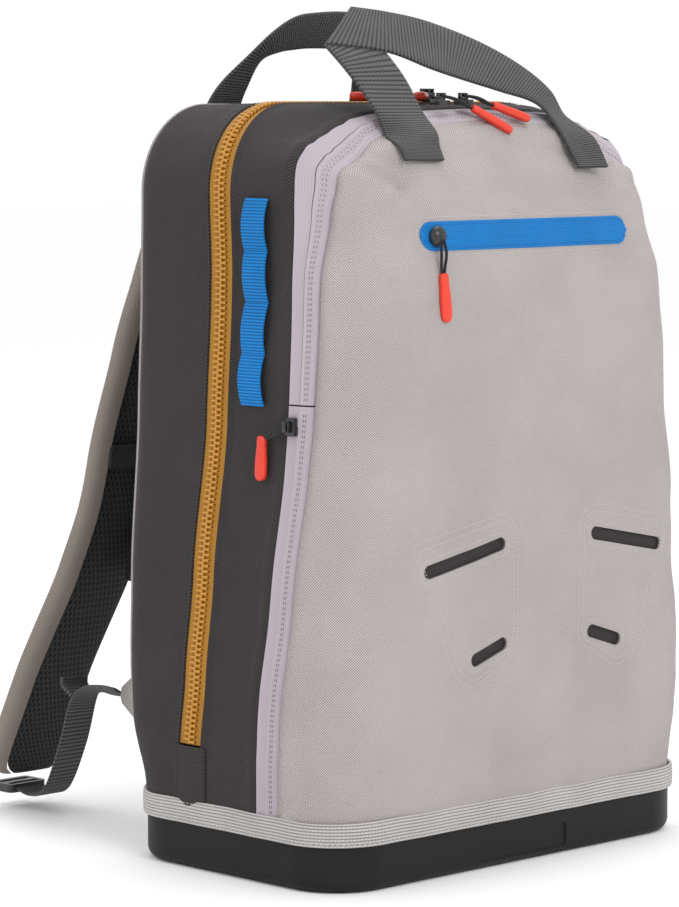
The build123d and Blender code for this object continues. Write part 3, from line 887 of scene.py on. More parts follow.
def make_main_zip():
    """Gold tape in two halves, each with its own row of interlocking teeth."""
    for half, sign in (("rear", 1), ("front", -1)):
        def tape_place(a, b):
            l = -ZIP_END + 2 * ZIP_END * a
            share = b if sign > 0 else 1 - b
            y = zip_y(l) + sign * (0.15 * MM + share * (GOLD_TAPE - 0.15 * MM))
            cord = 0.5 * MM * math.exp(-((share * GOLD_TAPE - 2.2 * MM) / (1.6 * MM)) ** 2)
            return shell(l, y, 0.5 * MM + cord)[0]
        tape = laid(f"gold_tape_{half}", 300, 8, tape_place, (2 * ZIP_END, GOLD_TAPE), gold_tape, 0.9 * MM)
        places = []
        for i in range(int(2 * ZIP_END / TOOTH_PITCH)):
            l = -ZIP_END + TOOTH_PITCH * (i + (0.5 if sign > 0 else 0.0)) + 2 * MM
            y = zip_y(l)
            point, normal = shell(l, y, 1.5 * MM)
            ahead = (shell(l + 1 * MM, y)[0] - shell(l - 1 * MM, y)[0]).normalized()
            across = normal.cross(ahead).normalized()
            turn = facing(ahead, across, normal)
            for offset, size in ((2.3, (1.75, 5.4, 3.0)), (0.1, (2.5, 1.9, 2.6)), (3.9, (2.3, 2.2, 2.2))):
                shift = Matrix.Translation((0, sign * offset * MM * (1 if across.y > 0 else -1), 0))
                places.append(Matrix.Translation(point) @ turn @ shift @ Matrix.Diagonal(
                    (size[0] * MM, size[1] * MM, size[2] * MM, 1)))
        teeth = cubes(f"teeth_{half}", places, gold_plastic, 0.45 * MM)
        if sign > 0:
            own(tape, "pack", ("main_zip_tape_rear",))
            own(teeth, "pack", ("main_zip_teeth_rear",))
        else:
            bend(tape, ("main_zip_tape_front",))
            bend(teeth, ("main_zip_teeth_front",))


def make_garages():
    """Cloth patches that cover the main zipper's lower ends."""
    garages = []
    for side in (-1, 1):
        def place(a, b):
            l = side * (ZIP_END + 1 * MM + (SPLIT - LOW) * (a if side > 0 else 1 - a))
            y = zip_y(l) - GOLD_TAPE - 1 * MM + 2 * (GOLD_TAPE + 1 * MM) * b
            return shell(l, y, 2.4 * MM + 0.5 * MM * math.sin(b * math.pi))[0]
        garages.append(laid(f"garage_{side}", 14, 14, place, (40 * MM, 30 * MM), dark_cloth, 1.4 * MM,
                            0.4 * MM))
    own(joined("zipper_garages", garages), "pack", ("zip_garages",))
    rows = []
    for side in (-1, 1):
        for edge in (-1, 1):
            placed = [shell(side * (ZIP_END + 2 * MM + i * 1.5 * MM),
                            zip_y(side * (ZIP_END + i * 1.5 * MM)) + edge * (GOLD_TAPE - 1.5 * MM), 2.7 * MM)
                      for i in range(26)]
            rows.append(stitches(f"garage_row_{side}_{edge}", placed, dark_thread))
    own(joined("garage_stitching", rows), "pack")


def edge_rows(name, depth, lift, material, low, high):
    """Stitches that follow the outline at a depth, on both sides when low is past the top's middle."""
    count = int((high - low) / (1.5 * MM))
    lines = []
    for side in ((-1, 1) if low > 0 else (1,)):
        placed = []
        for i in range(count + 1):
            l = side * (low + (high - low) * i / count)
            placed.append(shell(l, depth(l), lift))
        lines.append(stitches(f"{name}_{side}", placed, material))
    return joined(name, lines)


def make_edge_stitching():
    low = -OUTLINE + 4 * MM
    rear = edge_rows("rear_zip_stitching", lambda l: zip_y(l) + GOLD_TAPE + 1 * MM, 2 * MM, dark_thread,
                     low, -low)
    own(rear, "pack")
    front = edge_rows("front_zip_stitching", lambda l: zip_y(l) - GOLD_TAPE - 1 * MM, 2 * MM, dark_thread,
                      low, -low)
    bend(front)


def covered_tape(l, across):
    """A point on the covered zipper's tape: ridged at its middle and folded at its edges, and
    running in under the front's cloth."""
    rib = 0.8 * MM * math.exp(-((across - TAPE / 2) / (1.5 * MM)) ** 2)
    folds = math.exp(-(across / (1.2 * MM)) ** 2) + math.exp(-((across - TAPE) / (1.2 * MM)) ** 2)
    under = 2.4 * MM * ease(TAPE - 0.5 * MM, TAPE + 2 * MM, across)
    return shell(l, seam_y(l) - across, 0.3 * MM + rib + 0.54 * MM * folds - under)[0]


def make_light_zips():
    """The covered zipper round the front compartment, and the side pockets' zippers below it."""
    flap_l = OUTLINE - RISE_TO_FLAP
    middle, gap, tuck = TAPE / 2, 0.2 * MM, 3 * MM

    def rear_half(a, b):
        return covered_tape(flap_l * (2 * a - 1), (1 - b) * (middle - gap))

    def front_half(a, b):
        return covered_tape(flap_l * (2 * a - 1), middle + gap + (1 - b) * (middle - gap + tuck))
    rear = laid("front_zip_rear", 260, 8, rear_half, (2 * flap_l, middle), light_tape, 1.0 * MM)
    own(rear, "front_section", ("front_zip_tape_rear",))
    front = laid("front_zip_front", 260, 8, front_half, (2 * flap_l, middle), light_tape, 1.0 * MM)
    bend(front, ("front_zip_tape_front",))
    for side, word in SIDES:
        def place_side(a, b):
            rise = a if side < 0 else 1 - a
            return covered_tape(side * (OUTLINE - rise * (RISE_TO_FLAP - 1 * MM)), (TAPE + tuck) * (1 - b))
        piece = laid(f"side_zip_{word}", 130, 16, place_side, (RISE_TO_FLAP, TAPE), light_tape, 1.0 * MM)
        bend(piece, ("side_zip_tapes",))
    high = flap_l - 2 * MM
    for number, off in enumerate((3.2 * MM, 5.0 * MM)):
        def depth(l):
            return seam_y(l) - middle - off
        upper = edge_rows(f"front_zip_rows_{number}", depth, 0.7 * MM, tape_thread, -high, high)
        bend(upper)
        lower = edge_rows(f"side_zip_rows_{number}", depth, 0.7 * MM, tape_thread,
                          flap_l + 5 * MM, OUTLINE - 8 * MM)
        bend(lower)


# ---- binding and base ----
def plan_ring(share, hx, y0, y1, radius):
    """A point and outward direction round a rounded rectangle, from its back middle."""
    straight_x, straight_y = 2 * (hx - radius), (y1 - y0) - 2 * radius
    arc = radius * math.pi / 2
    total = 2 * (straight_x + straight_y) + 4 * arc
    d = (share % 1.0) * total
    steps = [("line", straight_x / 2, (0, y1), (-1, 0)),
             ("arc", arc, (-hx + radius, y1 - radius), 90),
             ("line", straight_y, (-hx, y1 - radius), (0, -1)),
             ("arc", arc, (-hx + radius, y0 + radius), 180),
             ("line", straight_x, (-hx + radius, y0), (1, 0)),
             ("arc", arc, (hx - radius, y0 + radius), 270),
             ("line", straight_y, (hx, y0 + radius), (0, 1)),
             ("arc", arc, (hx - radius, y1 - radius), 0),
             ("line", straight_x / 2 + 1e-6, (hx - radius, y1), (-1, 0))]
    for kind, size, start, way in steps:
        if d <= size:
            if kind == "line":
                out = Vector((way[1], -way[0], 0))
                return Vector((start[0] + way[0] * d, start[1] + way[1] * d, 0)), out, total
            angle = math.radians(way) + d / radius
            out = Vector((math.cos(angle), math.sin(angle), 0))
            return Vector((start[0] + out.x * radius, start[1] + out.y * radius, 0)), out, total
        d -= size
    return Vector((0, y1, 0)), Vector((0, 1, 0)), total


def make_binding():
    low, high = BINDING[0].z, BINDING[1].z
    total = plan_ring(0, HALF, FRONT, BACK, CORNER)[2]

    def place(a, b):
        point, out, _ = plan_ring(a, HALF, FRONT, BACK, CORNER)
        bulge = 0.6 * MM * math.sin(b * math.pi) + soft(point, 70, 0.35 * MM) + 2.6 * MM
        wander = soft(point, 25, 0.8 * MM, 5.0) * (0.3 + b)
        return point + out * bulge + Vector((0, 0, low + (high - low) * b + wander))
    tape = laid("binding_tape", 420, 8, place, (total, high - low), binding_tape, 2.2 * MM, 0.5 * MM)
    own(tape, "pack", ("base_binding",))
    rows = []
    for share in (0.14, 0.86):
        placed = []
        for i in range(701):
            out = plan_ring(i / 700, HALF, FRONT, BACK, CORNER)[1]
            placed.append((place(i / 700, share) + out * 0.2 * MM, out))
        rows.append(stitches(f"binding_row_{share}", placed, pale_thread, step=3.6 * MM, length=2.6 * MM))
    own(joined("binding_stitching", rows), "pack")
    finish_node("base_tub", base_plastic)
    finish_node("floor_board", foam)


# ---- webbing ----
def band(name, left, right, columns, material, thickness, bevel=0.7 * MM, rows=8, bow=0.0):
    """Webbing between two rails of points, right rail on the right of someone going along it."""
    def place(a, b):
        p, q = along(left, b), along(right, b)
        ahead = along(left, min(1, b + 0.01)) + along(right, min(1, b + 0.01)) - p - q
        lift = (q - p).cross(ahead).normalized() * bow * math.sin(a * math.pi)
        return p.lerp(q, a) + lift
    length = sum((along(left, (i + 1) / 40) - along(left, i / 40)).length for i in range(40))
    wide = (left[0] - right[0]).length
    return laid(name, rows, columns, place, (wide, length), material, thickness, bevel)


WEBBING = 2.4 * MM
HANDLE_FEET = ((-78, 471), (79, 464))       # middle and lower end of the front handle's legs, x and z
BOX_STITCH = ((-19, 1), (19, 1), (19, -7), (-19, -7), (-19, 1))


def planted(places):
    """Points of a handle's end that lies sewn to the front's cloth, level across its folds."""
    points = []
    for x, z in places:
        point, out = face_point(x * MM, z * MM, 4.4 * MM)
        points.append(point + out * max(folded(point), 0.0))
    return points


def make_handles():
    leg_left = planted([(-95, 471), (-95.5, 479), (-96.5, 488)]) + millimetres(
        [(-98, -62, 505), (-99, -38, 530), (-100, -16, 549)])
    leg_right = planted([(-61, 471), (-60, 479), (-58, 488)]) + millimetres(
        [(-53, -60, 505), (-50, -36, 532), (-50, 11, 573)])
    leg = band("front_handle_leg", leg_left, leg_right, 60, dark_webbing, WEBBING)
    top_low = millimetres([(-100, -16, 548), (-50, -23, 543), (-20, -35, 532), (3, -42, 525),
                           (31, -51, 517), (56, -60, 509)]) + planted([(62, 493), (63, 480), (63, 464)])
    top_high = millimetres([(-50, 12, 573), (-20, 8, 570), (12, 1, 564), (48, -12, 551), (70, -31, 535),
                            (80, -50, 518)]) + planted([(89, 499), (93, 482), (95, 464)])
    run = band("front_handle_run", top_low, top_high, 150, dark_webbing, WEBBING)
    feet = []
    for x, foot in HANDLE_FEET:
        for z in (foot + 4, foot + 10):
            line = [Vector(((x - 15 + i * 2) * MM, 0, z * MM)) for i in range(16)]
            feet.append(stitches(f"foot_{x}_{z}", on_face(line, 3 * MM), dark_thread))
    own(joined("front_handle_webbing", [leg, run]), "front_handle", ("front_handle",))
    own(joined("front_handle_stitching", feet), "front_handle")
    box = []
    for x, foot in HANDLE_FEET:
        line = [Vector(((x + dx) * MM, 0, (foot + dz) * MM)) for dx, dz in BOX_STITCH]
        box.append(stitches(f"box_{x}", on_face(dense(line), 0.3 * MM), pale_thread, step=2.8 * MM,
                            length=2 * MM))
    own(joined("handle_box_stitching", box), "front_flap")
    outer = millimetres([(-94, 106.5, 496), (-93, 106.5, 507), (-87, 98, 523), (-73, 86, 541), (-58, 76, 558),
                         (-42, 71, 568), (-24, 69, 571), (0, 68, 572), (22, 70, 570), (42, 76, 560),
                         (58, 86, 544), (70, 97, 525), (76, 106.5, 508), (77, 106.5, 496)])
    inner = millimetres([(-61, 106.5, 496), (-62, 106.5, 507), (-62, 99, 521), (-59, 89, 538), (-46, 85, 544),
                         (-32, 84, 546), (-20, 83, 547), (0, 83, 547), (14, 84, 546), (26, 87, 541),
                         (34, 93, 530), (40, 100, 518), (44, 106.5, 508), (44, 106.5, 496)])
    rear = band("rear_handle_webbing", outer, inner, 150, dark_webbing, WEBBING)
    own(rear, "rear_handle", ("rear_handle",))


LOOP_WIDE = 21 * MM


def make_side_loops():
    """Blue webbing bartacked to each side in open loops."""
    low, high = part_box("side_webbing_loops")[0].z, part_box("side_webbing_loops")[1].z
    pieces, tacks = [], []
    for side in (-1, 1):
        def place(a, b):
            z = low + (high - low) * b
            l = side * (OUTLINE - (z - LOW))
            y = -32 * MM + LOOP_WIDE * (a if side < 0 else 1 - a) + 1.2 * MM * math.sin(b * 9)
            loops = 3.2 * MM * abs(math.sin(b * math.pi * 4)) ** 0.8
            return shell(l, y, 2.6 * MM + loops)[0]
        pieces.append(laid(f"loops_{side}", 8, 90, place, (LOOP_WIDE, high - low), blue_webbing, 1.7 * MM,
                           0.5 * MM))
        for share in (0.02, 0.25, 0.5, 0.75, 0.98):
            for shift in (-1.2, 0, 1.2):
                rise = share + shift * MM / (high - low)
                out = Vector((side, 0, 0))
                ends = [place(reach, rise) + out * 0.4 * MM for reach in (0.08, 0.92)]
                placed = [(point, out) for point in dense(ends)]
                tacks.append(stitches(f"tack_{side}_{share}_{shift}", placed, blue_thread,
                                      step=1.3 * MM, length=1.6 * MM, thick=0.6 * MM))
    own(joined("side_webbing_loops_cloth", pieces), "front_section", ("side_webbing_loops",))
    own(joined("loop_bartacks", tacks), "front_section")


# ---- back panel ----
def make_back():
    def place(a, b):
        edge, _ = shell(OUTLINE - (OUTLINE - FLAT_TOP) * b, BACK - 6 * MM, -0.5 * MM)
        point = Vector((abs(edge.x) * (2 * a - 1), BACK - 6 * MM, edge.z))
        rim = ease(0, 0.05, a) * ease(1, 0.95, a) * ease(1, 0.95, b) * ease(0, 0.04, b)
        return point + Vector((0, rim * (6.4 * MM + soft(point, 20, 0.8 * MM)), 0))
    piece = laid("back_cloth", 80, 110, lambda a, b: place(1 - a, b), (0.33, 0.5), dark_cloth, 1.8 * MM)
    own(piece, "pack", ("back_panel",))

    def bead(a, b):
        l = -OUTLINE + 2 * OUTLINE * a
        point, normal = shell(l, BACK - 5 * MM, 0.8 * MM)
        turn = b * 2 * math.pi
        return point + normal * 1.3 * MM * math.cos(turn) + Vector((0, 1.3 * MM * math.sin(turn), 0))
    own(laid("rear_piping", 300, 8, lambda a, b: bead(a, 1 - b), (2 * OUTLINE, 8 * MM), light_cloth), "pack",
        ("back_piping",))
    finish_node("frame_sheet", stiffener)
    low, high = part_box("yoke_panel")
    yoke = laid("yoke_cloth", 30, 10, lambda a, b: Vector((
        high.x + (low.x - high.x) * a, BACK + 2.2 * MM - 1.4 * MM * (2 * b - 1) ** 4,
        low.z + (high.z - low.z) * b)),
        (high.x - low.x, high.z - low.z), dark_cloth, 1.6 * MM, 0.4 * MM)
    own(yoke, "pack", ("yoke_panel",))


def pad_form(name, low, high, cells=(28, 40), corner=18 * MM):
    """A crowned closed pad against the back, its edges pulled in to a seam."""
    wide, tall = high.x - low.x, high.z - low.z
    bm = cloth_grid(*cells, (wide, tall))
    middle_x, middle_z = (low.x + high.x) / 2, (low.z + high.z) / 2
    y, thick = BACK + 1.5 * MM, high.y - BACK - 1 * MM
    for vert in bm.verts:
        a, b = -2 * vert.co.x, 2 * vert.co.y
        sx = abs(a) * math.sqrt(1 - (corner / wide) * b ** 8)
        sz = abs(b) * math.sqrt(1 - (corner / tall) * a ** 8)
        crown = (1 - abs(a) ** 5) * (1 - abs(b) ** 7)
        vert.co = Vector((middle_x + math.copysign(sx, a) * wide / 2, y + thick * crown ** 0.45,
                          middle_z + math.copysign(sz, b) * tall / 2))
    return new_piece(name, bm, air_mesh)


def make_back_pads():
    low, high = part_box("back_pads")
    gap = 18 * MM
    for side, word in SIDES:
        x = sorted((side * gap, side * high.x))
        pad = pad_form(f"back_pad_{word}", Vector((x[0], low.y, low.z)), Vector((x[1], high.y, high.z)))
        own(pad, "pack", ("back_pads",))
    pad = pad_form("lumbar_cushion", *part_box("lumbar_pad"), cells=(48, 26))
    own(pad, "pack", ("lumbar_pad",))


# ---- shoulder straps ----
STRAP_SIDE = [(108, 481), (128, 470), (150, 447), (166, 412), (176, 376), (186, 336), (194, 300), (201, 262),
              (208, 222), (222, 184), (243, 142), (264, 100), (280, 62), (291, 30)]
STRAP_X = [(481, -62), (412, -67), (336, -78), (262, -88), (184, -97), (100, -105), (30, -111)]


def strap_frame(share):
    """Centre, direction outwards (off the wearer) and direction across at a share of the strap."""
    points = [Vector((0, y, z)) for y, z in STRAP_SIDE]
    here = along(points, share)
    ahead = (along(points, min(1, share + 0.01)) - along(points, max(0, share - 0.01))).normalized()
    x = through(sorted((z, x) for z, x in STRAP_X), here.z)
    outward = Vector((0, -ahead.z, ahead.y))
    return Vector((x, here.y, here.z)) * MM, outward, Vector((1, 0, 0))


STRAP_WIDE, STRAP_LONG = 62 * MM, 0.52


def strap_half_width(share):
    return STRAP_WIDE / 2 - quarter(max(0.0, share - 0.975) * STRAP_LONG, 14 * MM)


def make_straps():
    left_cover = laid("cover", 26, 130, cover_place, (110 * MM, STRAP_LONG), strap_cloth, 1.4 * MM)
    left_mesh = laid("mesh", 22, 130, mesh_place, (56 * MM, STRAP_LONG), air_mesh, 1.2 * MM)
    right_cover, right_mesh = mirrored(left_cover, "right"), mirrored(left_mesh, "right_mesh")
    for word, cover, mesh in (("left", left_cover, left_mesh), ("right", right_cover, right_mesh)):
        cover.name, mesh.name = f"shoulder_cover_{word}", f"shoulder_mesh_{word}"
        body = f"shoulder_strap_{word}"
        own(cover, body, (f"strap_cover_{word}",))
        own(mesh, body, (f"strap_mesh_{word}",))


def cover_place(a, b):
    """The outer cloth: round the back of the strap and over both edges."""
    centre, outward, across = strap_frame(b)
    half = strap_half_width(b)
    turn = math.radians(-114 + 256 * a)
    x = squared_off(math.sin(turn), 0.6) * half
    y = squared_off(math.cos(turn), 0.6) * 7 * MM
    pinch = 1 - 0.12 * ease(0.9, 1.0, b)
    return centre - across * x + outward * (y * 1.25 * pinch - 2 * MM)


def mesh_place(a, b):
    """The padded mesh that lies against the wearer."""
    centre, outward, across = strap_frame(b)
    half = strap_half_width(b) - 3.2 * MM
    t = 2 * a - 1
    crown = 1.8 * MM * (1 - t ** 4)
    return centre + across * (half * t * 0.9 + 3.4 * MM) - outward * (8.4 * MM + crown)


def make_adjusters():
    """Webbing from each ladder lock to the wing, and the wings."""
    left_rail = millimetres([(-98, 286, 17), (-98, 268, 13), (-99, 250, 20), (-104, 226, 55), (-112, 206, 88),
                             (-120, 190, 97), (-127, 168, 98), (-130, 150, 99)])
    right_rail = millimetres([(-123, 286, 17), (-123, 268, 13), (-124, 250, 20), (-130, 226, 55),
                              (-138, 204, 90), (-140, 188, 102), (-141, 168, 106), (-142, 150, 106)])
    strap = band("adjuster", left_rail, right_rail, 90, dark_webbing, 1.7 * MM)
    tab_left = millimetres([(-112, 206, 90), (-114, 214, 97), (-113, 216, 104)])
    tab_right = millimetres([(-137, 204, 92), (-139, 212, 99), (-138, 214, 106)])
    tab = band("tab", tab_left, tab_right, 12, dark_webbing, 3.2 * MM)
    left = joined("adjuster_webbing_left", [strap, tab])
    right = mirrored(left, "adjuster_webbing_right")
    for word, piece in (("left", left), ("right", right)):
        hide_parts(f"strap_webbing_{word}")
        settle(piece)
        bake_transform(piece)
    wings = []
    for side in (-1, 1):
        def place(a, b):
            root = Vector((side * (141 + 4 * b) * MM, BACK - 2 * MM, (68 + 70 * a) * MM))
            tip = Vector((side * 136 * MM, BACK + 46 * MM, (94 + 12 * a) * MM))
            bulge = Vector((side * 1.5 * MM * math.sin(a * math.pi), 0, 0))
            return root.lerp(tip, b) + bulge
        flip = (lambda a, b: place(1 - a, b)) if side > 0 else place
        wings.append(laid(f"wing_{side}", 18, 14, flip, (70 * MM, 46 * MM), light_cloth, 2.6 * MM, 0.7 * MM))
    own(joined("wing_tabs", wings), "pack", ("wings",))


# ---- inside ----
def box_middle(node):
    low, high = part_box(node)
    return (low + high) / 2


def make_inside():
    """The wall behind the front compartment, the mesh pocket on it and the bag behind the blue zipper."""
    wall_y = box_middle("divider_panel").y

    def wall(a, b):
        edge, _ = shell(ZIP_END + (3 * MM - ZIP_END) * b, wall_y, -3 * MM)
        point = Vector((abs(edge.x) * (2 * a - 1), wall_y, edge.z))
        rim = ease(0, 0.08, a) * ease(1, 0.92, a) * ease(0, 0.06, b) * ease(1, 0.94, b)
        return point + Vector((0, soft(point, 15, 2.4 * MM) * rim, 0))
    own(laid("compartment_wall", 70, 90, wall, (0.34, 0.42), lining_cloth, 2.2 * MM), "front_section",
        ("divider_panel",))
    low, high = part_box("mesh_pocket")

    def pocket(a, b):
        slack = math.sin(a * math.pi) ** 0.6 * ease(0, 0.3, b)
        return Vector((low.x + (high.x - low.x) * a, high.y - 1 * MM + slack * (3 + 1.5 * b) * MM
                       + soft(Vector((a, 0, b)), 6, 0.8 * MM) * slack, low.z + (high.z - low.z) * b))

    def elastic(a, b):
        return pocket(1 - a, 0.93 + 0.08 * b) + Vector((0, 0.9 * MM, 0))
    wide, tall = high.x - low.x, high.z - low.z
    sheet = laid("pocket_mesh", 60, 50, lambda a, b: pocket(1 - a, b), (wide, tall), air_mesh, 1.2 * MM)
    hem = laid("pocket_elastic", 60, 4, elastic, (wide, 18 * MM), dark_webbing, 1.6 * MM, 0.4 * MM)
    own(joined("mesh_pocket_cloth", [sheet, hem]), "front_section", ("mesh_pocket",))
    low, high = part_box("pocket_bag")

    def bag(a, b):
        x, z = low.x + (high.x - low.x) * a, low.z + (high.z - low.z) * b
        full = (math.sin(a * math.pi) * math.sin(b * math.pi)) ** 0.4
        return face_point(x, z, -(5 + 2.5 * full) * MM)[0]
    own(laid("zip_pocket_bag", 50, 34, bag, (high.x - low.x, high.z - low.z), lining_cloth, 3 * MM, 1 * MM),
        "front_flap", ("pocket_bag",))


# ---- zipper sliders and pulls ----
CORD_RADIUS = 0.95 * MM


def cord_tube(name, points, radius, material, count=40):
    """A thin cord along a smooth curve through the points."""
    def place(a, b):
        here, ahead = along(points, b), along(points, min(1, b + 0.02)) - along(points, max(0, b - 0.02))
        ahead.normalize()
        side = ahead.cross(Vector((0.3, 0.2, 1))).normalized()
        up = side.cross(ahead)
        turn = a * 2 * math.pi
        return here + (side * math.cos(turn) + up * math.sin(turn)) * radius
    return laid(name, 10, count, place, (radius * 6, 0.04), material)


def grip(name, start, end, flat, wide, thick, material):
    """A moulded grip: a tapered, rounded bar with a waist and a rounded end."""
    run = (end - start)
    ahead = run.normalized()
    side = flat.cross(ahead).normalized()
    flat = ahead.cross(side)
    shape = [(0.0, 0.5), (0.04, 0.74), (0.12, 0.82), (0.22, 0.78), (0.34, 0.88), (0.6, 1.0), (0.85, 1.0),
             (0.94, 0.88), (0.98, 0.68), (1.0, 0.42)]

    def place(a, b):
        size = through(shape, b)
        turn = a * 2 * math.pi
        x = squared_off(math.cos(turn), 0.8) * wide / 2 * size
        y = squared_off(math.sin(turn), 0.8) * thick / 2 * (0.45 + 0.55 * size)
        return start + run * b + side * x + flat * y
    piece = laid(name, 20, 26, place, (30 * MM, run.length), material)
    bm = bmesh.new()
    bm.from_mesh(piece.data)
    bmesh.ops.remove_doubles(bm, verts=bm.verts[:], dist=0.01 * MM)
    bmesh.ops.holes_fill(bm, edges=[e for e in bm.edges if e.is_boundary], sides=0)
    bmesh.ops.recalc_face_normals(bm, faces=bm.faces[:])
    bm.to_mesh(piece.data)
    bm.free()
    return piece


GRIP_WIDE, GRIP_THICK = 9 * MM, 6 * MM


def pull_set(node, eye, elbow, tip, flat):
    """A cord loop from the slider's eye and the red grip on its end."""
    side = flat.cross(tip - elbow).normalized()
    loops = []
    for sign in (-1, 1):
        points = [eye + side * sign * 0.6 * MM,
                  eye.lerp(elbow, 0.4) + side * sign * 2.3 * MM + flat * 1.2 * MM,
                  eye.lerp(elbow, 0.8) + side * sign * 1.6 * MM,
                  elbow + side * sign * 0.5 * MM]
        loops.append(cord_tube(f"{node}_cord_{sign}", points, CORD_RADIUS, cord_black))
    start = elbow - (tip - elbow).normalized() * 2 * MM
    handle = grip(f"{node}_grip", start, tip, flat, GRIP_WIDE, GRIP_THICK, red_rubber)
    own(joined(f"{node}_set", [handle] + loops), node, (node,))


def slider_body(node, centre, ahead, up, length, wide, tall, dome=False):
    """A slider: waisted body, raised shoulders and a bridge that holds the pull."""
    side = up.cross(ahead).normalized()
    base = Matrix.Translation(centre) @ facing(ahead, side, up)
    blocks = [(0, 0, tall * 0.22, length, wide * 0.8, tall * 0.44),
              (length * 0.22, 0, tall * 0.25, length * 0.5, wide, tall * 0.5),
              (0, 0, tall * 0.62, length * 0.62, wide * 0.34, tall * 0.34),
              (-length * 0.28, 0, tall * 0.78, length * 0.12, wide * 0.34, tall * 0.5),
              (length * 0.2, 0, tall * 0.78, length * 0.12, wide * 0.34, tall * 0.5),
              (-length * 0.04, 0, tall * 1.02, length * 0.62, wide * 0.34, tall * 0.16)]
    if dome:
        blocks = [(0, 0, tall * 0.9, length * 0.3, wide * 0.3, tall * 0.5)]
    places = [base @ Matrix.Translation(b[:3]) @ Matrix.Diagonal((*b[3:], 1)) for b in blocks]
    piece = cubes(f"{node}_body", places, black_metal, 0.6 * MM, segments=2)
    parts = [piece]
    if dome:
        bm = bmesh.new()
        size = Matrix.Diagonal((length * 0.52, wide * 0.56, tall * 0.75, 1))
        shape = base @ Matrix.Translation((0, 0, tall * 0.3)) @ size
        bmesh.ops.create_uvsphere(bm, u_segments=20, v_segments=12, radius=1.0, matrix=shape)
        parts.append(new_piece(f"{node}_dome", bm, black_plastic))
    own(joined(f"{node}_metal", parts), node, (node,))


def joint_place(name):
    joint = next(j for j in frame["record"]["behaviour"]["joints"] if j["name"] == name)
    return Vector(joint["pos_m"]), Vector(joint["axis"])


def make_pull(name, up, reach, drops, length=27 * MM):
    """A pull lying from its hinge: reach to its grip, and how far its two ends have dropped."""
    eye, axis = joint_place(f"{name}_swing")
    ahead = up.cross(axis).normalized()
    elbow = eye + ahead * reach - up * drops[0]
    tip = eye + ahead * (reach + length) - up * drops[1]
    flat = (up - (tip - elbow).normalized() * up.dot((tip - elbow).normalized())).normalized()
    pull_set(name, eye, elbow, tip, flat)


def make_sliders():
    above = Vector((0, 0, 1))
    for word, sign in (("left", -1), ("right", 1)):
        centre = box_middle(f"main_slider_{word}")
        slider_body(f"main_slider_{word}", Vector((centre.x, centre.y, TOP + 2.4 * MM)),
                    Vector((sign, 0, 0)), above, 18 * MM, 12 * MM, 8.5 * MM)
        make_pull(f"main_pull_{word}", above, 15 * MM if sign < 0 else 20 * MM, (3.4 * MM, 3.4 * MM))
        centre = box_middle(f"front_slider_{word}")
        slider_body(f"front_slider_{word}", Vector((centre.x, centre.y, TOP + 0.4 * MM)),
                    Vector((sign, 0, 0)), above, 12 * MM, 9 * MM, 7.5 * MM)
        drops = (9 * MM, 24 * MM) if sign < 0 else (7 * MM, 16 * MM)
        make_pull(f"front_pull_{word}", above, 25 * MM, drops)
        centre = box_middle(f"side_slider_{word}")
        out = Vector((sign, 0, 0))
        x = sign * (abs(outline(OUTLINE - (centre.z - LOW))[0]) + 0.4 * MM)
        slider_body(f"side_slider_{word}", Vector((x, centre.y, centre.z)), Vector((0, 0, -1)),
                    out, 12 * MM, 9 * MM, 8.5 * MM)
        eye, _ = joint_place(f"side_pull_{word}_swing")
        elbow = eye + Vector((-sign * 0.5, 23, -9)) * MM
        pull_set(f"side_pull_{word}", eye, elbow, elbow + Vector((0, 1.5, -27)) * MM, out)
    centre = box_middle("pocket_slider")
    place, _ = face_point(centre.x, centre.z, 1.0 * MM)
    slider_body("pocket_slider", place, Vector((-1, 0, 0)), Vector((0, -1, 0)), 13 * MM, 12 * MM,
                6.5 * MM, dome=True)
    make_pull("pocket_pull", Vector((0, -1, 0)), 26 * MM, (1.5 * MM, 2 * MM), length=30 * MM)


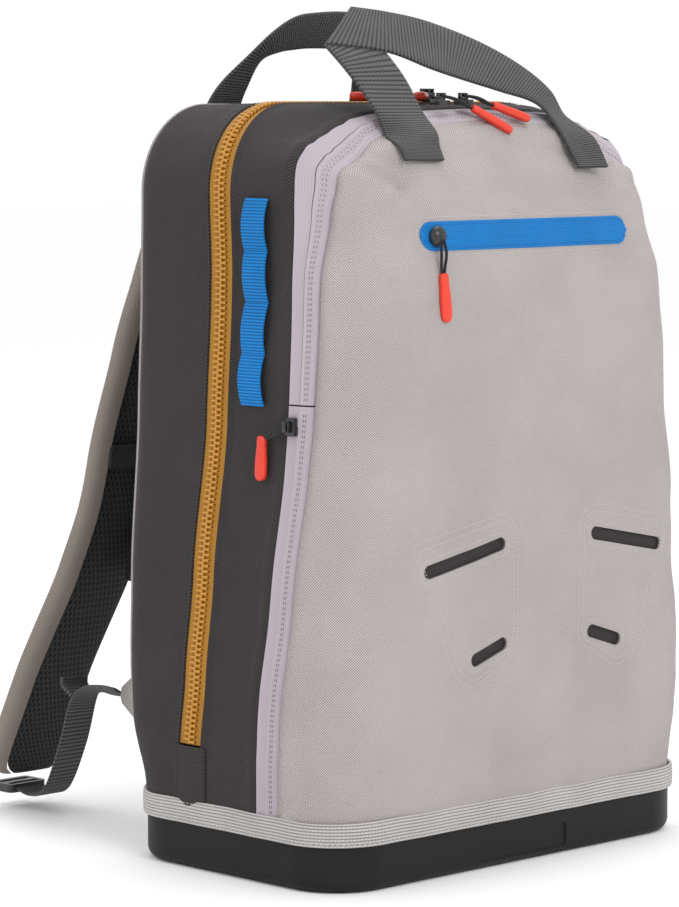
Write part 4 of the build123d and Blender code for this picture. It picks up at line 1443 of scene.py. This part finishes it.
# ---- camera, light and floor ----
def make_camera():
    yaw, pitch = math.radians(44.4), math.radians(5.4)
    camera = bpy.data.objects.new("camera", bpy.data.cameras.new("camera"))
    bpy.context.collection.objects.link(camera)
    camera.location = (-1.8200, -1.7860, 0.5108)
    ahead = Vector((math.sin(yaw) * math.cos(pitch), math.cos(yaw) * math.cos(pitch), -math.sin(pitch)))
    camera.rotation_euler = ahead.to_track_quat("-Z", "Y").to_euler()
    camera.data.sensor_fit, camera.data.sensor_height = "VERTICAL", 36
    camera.data.lens = 147.8
    camera.data.clip_end = 60
    bpy.context.scene.camera = camera


def area_light(name, place, target, size, power, colour=(1, 1, 1)):
    light = bpy.data.lights.new(name, "AREA")
    light.shape, light.size, light.energy, light.color = "DISK", size, power, colour
    lamp = bpy.data.objects.new(name, light)
    lamp.location = place
    lamp.rotation_euler = (Vector(target) - Vector(place)).to_track_quat("-Z", "Y").to_euler()
    bpy.context.collection.objects.link(lamp)


def make_studio():
    world = bpy.data.worlds.new("studio")
    bpy.context.scene.world = world
    world.use_nodes = True
    world.node_tree.nodes["Background"].inputs["Color"].default_value = (1, 1, 1, 1)
    world.node_tree.nodes["Background"].inputs["Strength"].default_value = 1.0
    area_light("key", (-0.6, -2.2, 1.7), (0, 0, 0.25), 1.2, 24)
    area_light("fill", (-2.4, 0.3, 1.2), (0, 0, 0.25), 1.4, 5)
    area_light("top", (0.4, 0.5, 2.2), (0, 0, 0.3), 1.2, 12)
    bm = bmesh.new()
    bmesh.ops.create_grid(bm, x_segments=1, y_segments=1, size=12)
    floor = new_piece("floor", bm, Finish("pale_floor", 0.9, Base_Color=(0.985, 0.985, 0.985, 1)).material)
    bpy.context.scene.view_settings.view_transform = "Standard"


make_camera()
make_studio()
make_front()
make_slots()
make_pocket_zip()
make_gussets()
make_main_zip()
make_garages()
make_edge_stitching()
make_light_zips()
make_binding()
make_handles()
make_side_loops()
make_back()
make_back_pads()
make_straps()
make_adjusters()
make_inside()
make_sliders()
for node in ("ladder_lock_left", "ladder_lock_right", "chest_buckle_socket", "chest_buckle_plug"):
    finish_node(node, black_plastic)
for node in ("chest_strap_left", "chest_strap_right"):
    finish_node(node, dark_webbing)
